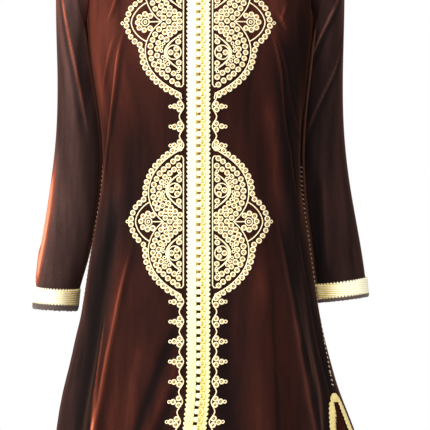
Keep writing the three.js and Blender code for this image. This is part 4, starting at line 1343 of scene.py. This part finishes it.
# %% Both cuffs
for side in ("left", "right"):
    node, edging_node = "cuff_braid_" + side, "cuff_edging_" + side
    band = show(cuff_ribbon(*cuff_rims(node)), "cuff_band_" + side, braid_level)
    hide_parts(node)
    threads = edging_paths(*cuff_rims(edging_node), EDGING_DEPTH[side])
    edging = show(cord_mesh(threads, THREAD * MM), "crochet_edging_" + side, crochet)
    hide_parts(edging_node)
    print("cuff", side, len(band.data.polygons), "and", len(edging.data.polygons), "faces")

# %% [markdown]
# ## Side slits
# Each slit is bound with one braid that climbs the front's edge, turns round the slit's top and goes down
# the back's edge, like an upside-down V. Both of its edges are toothed. It could be two strips with a mitre,
# but one ribbon led round the top has no joint to hide, and it narrows there as a real braid is eased in.

# %% Middle line of a slit's braid
SLIT_APEX = -5.0  # how far above the strips' ends the turn's middle lies, in mm
SLIT_SHORTEN = 16  # how much of the strips' ends the turn takes, in mm
STRIP_SECTION = 6  # points in each section of a strip


def strip_middle(node):
    """The middle line of a braid strip's outer face, from bottom to top."""
    bm = welded(node)
    points = sorted((v.co.copy() for v in bm.verts), key=lambda p: p.z)
    bm.free()
    return [sum(points[i:i + STRIP_SECTION], Vector()) / STRIP_SECTION
            for i in range(0, len(points), STRIP_SECTION)]


def slit_route(side):
    """The braid's middle line up the front, round the slit's top and down the back."""
    front = strip_middle("slit_braid_front_" + side)
    back = strip_middle("slit_braid_back_" + side)
    apex = (front[-1] + back[-1]) / 2 + Vector((0, 0, SLIT_APEX * MM))
    shorten = Vector((0, 0, SLIT_SHORTEN * MM))
    turn = [front[-1] - shorten, apex, back[-1] - shorten]
    return resample(front[:-1] + turn + back[-2::-1], STEP_DOWN * MM)


print({side: len(slit_route(side)) for side in ("left", "right")}, "steps")

# %% Slit braids
SLIT_HALF, SLIT_NARROW = 5.2, 0.72  # half width in mm, and the share of it that is left at the turn
SLIT_TOOTH = 0.7 * TOOTH_DEPTH
SLIT_SECTION = [(-1, 0.6), (-0.85, 1.3), (-0.4, 1.8), (0, 1.9), (0.4, 1.8), (0.85, 1.3), (1, 0.6)]
SIDE_WIDE, SIDE_DEEP = 0.215, 0.145  # half sizes of the body by the slits, in metres
BEFORE_CLOTH, CLOTH_REACH = 6, 16  # where a ray starts off the cloth and how far it looks, in mm
side_tree = {side: tree_of([panels["front_" + side], panels["back"]]) for side in ("left", "right")}


def slit_ribbon(side):
    """A slit's braid: a ribbon along its route, laid on the cloth by rays."""
    route = slit_route(side)
    rows = []
    for n, point in enumerate(route):
        tangent = (route[min(n + 2, len(route) - 1)] - route[max(n - 2, 0)]).normalized()
        out = Vector((point.x / SIDE_WIDE ** 2, point.y / SIDE_DEEP ** 2, 0)).normalized()
        across = tangent.cross(out).normalized()
        from_turn = abs(n - len(route) / 2) * STEP_DOWN
        eased = SLIT_NARROW + (1 - SLIT_NARROW) * float(ease(from_turn / 22))
        half = SLIT_HALF * eased + SLIT_TOOTH * tooth(n * STEP_DOWN)
        top, under = [], []
        for share, level in SLIT_SECTION:
            spot = point + across * (half * share * MM) + out * (BEFORE_CLOTH * MM)
            hit, _, _, _ = side_tree[side].ray_cast(spot, -out, CLOTH_REACH * MM)
            base = spot - out * (6.8 * MM) if hit is None else hit
            top.append(base + out * (level * MM))
            under.append(base + out * (0.1 * MM))
        rows.append(top + under[::-3])
    return skin(rows)


for side in ("left", "right"):
    show(slit_ribbon(side), "slit_braid_" + side, braid_cord)
    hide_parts("slit_braid_front_" + side, "slit_braid_back_" + side)

# %% [markdown]
# ## Side seams
# The side seams are whipped with gold thread: short slanting stitches, 7 mm apart, from the waist down to
# the slit. Each is a short cord of its own, led through points that rays find on the two panels.

# %% Whip stitches
STITCH_PITCH, STITCH_CORD, STITCH_LIFT = 7.0, 0.6, 0.4
WHIP_TOP, WHIP_FOOT = -0.445, -0.823
SPARED = 2  # the lowest places have the slit's braid on them
STITCH = [(-1.7, 1.0), (-0.6, 0.35), (0.6, -0.35), (1.7, -1.0)]  # across the seam and down, in mm


def seam_line(node):
    """The side seam of a front: the hindmost point of each row of its solid, from the slit to the arm."""
    rows = {}
    for p in points_of(frame["nodes"][node].data):
        if WHIP_FOOT < p[2] < WHIP_TOP:
            rows.setdefault(round(float(p[2]), 3), []).append(Vector(p))
    return [max(rows[z], key=lambda p: p.y * 10 + abs(p.x)) for z in sorted(rows)]


stitch_paths = []
for side, sign in (("left", 1), ("right", -1)):
    for p in resample(seam_line("front_" + side), STITCH_PITCH * MM)[SPARED:]:
        stitch = []
        for along, down in STITCH:
            start = p + Vector((sign * 0.03, along * MM, down * MM))
            hit, normal, _, _ = side_tree[side].ray_cast(start, Vector((-sign, 0, 0)))
            if hit is not None:
                stitch.append(hit + normal * STITCH_LIFT * MM)
        if len(stitch) == len(STITCH):
            stitch_paths.append((stitch, False))
whip_stitches = show(cord_mesh(stitch_paths, STITCH_CORD * MM), "whip_stitches", stitch_cord)
print(len(stitch_paths), "whip stitches")

# %% [markdown]
# ## What each cloth was cut from
# The cut sizes are those of a tunic of this size laid flat, each panel's greatest width and length. The
# pieces sewn onto a panel go with it.

# %% [markdown]
# ## Sizes
# The dressed tunic should fill the same box as its solids, apart from the thickness of what lies on them.

# %% Triangles and end
triangles = sum(len(p.vertices) - 2 for o in bpy.data.objects if o.type == "MESH" and o.name in shown
                for p in o.data.polygons)
print("triangles in all", triangles)
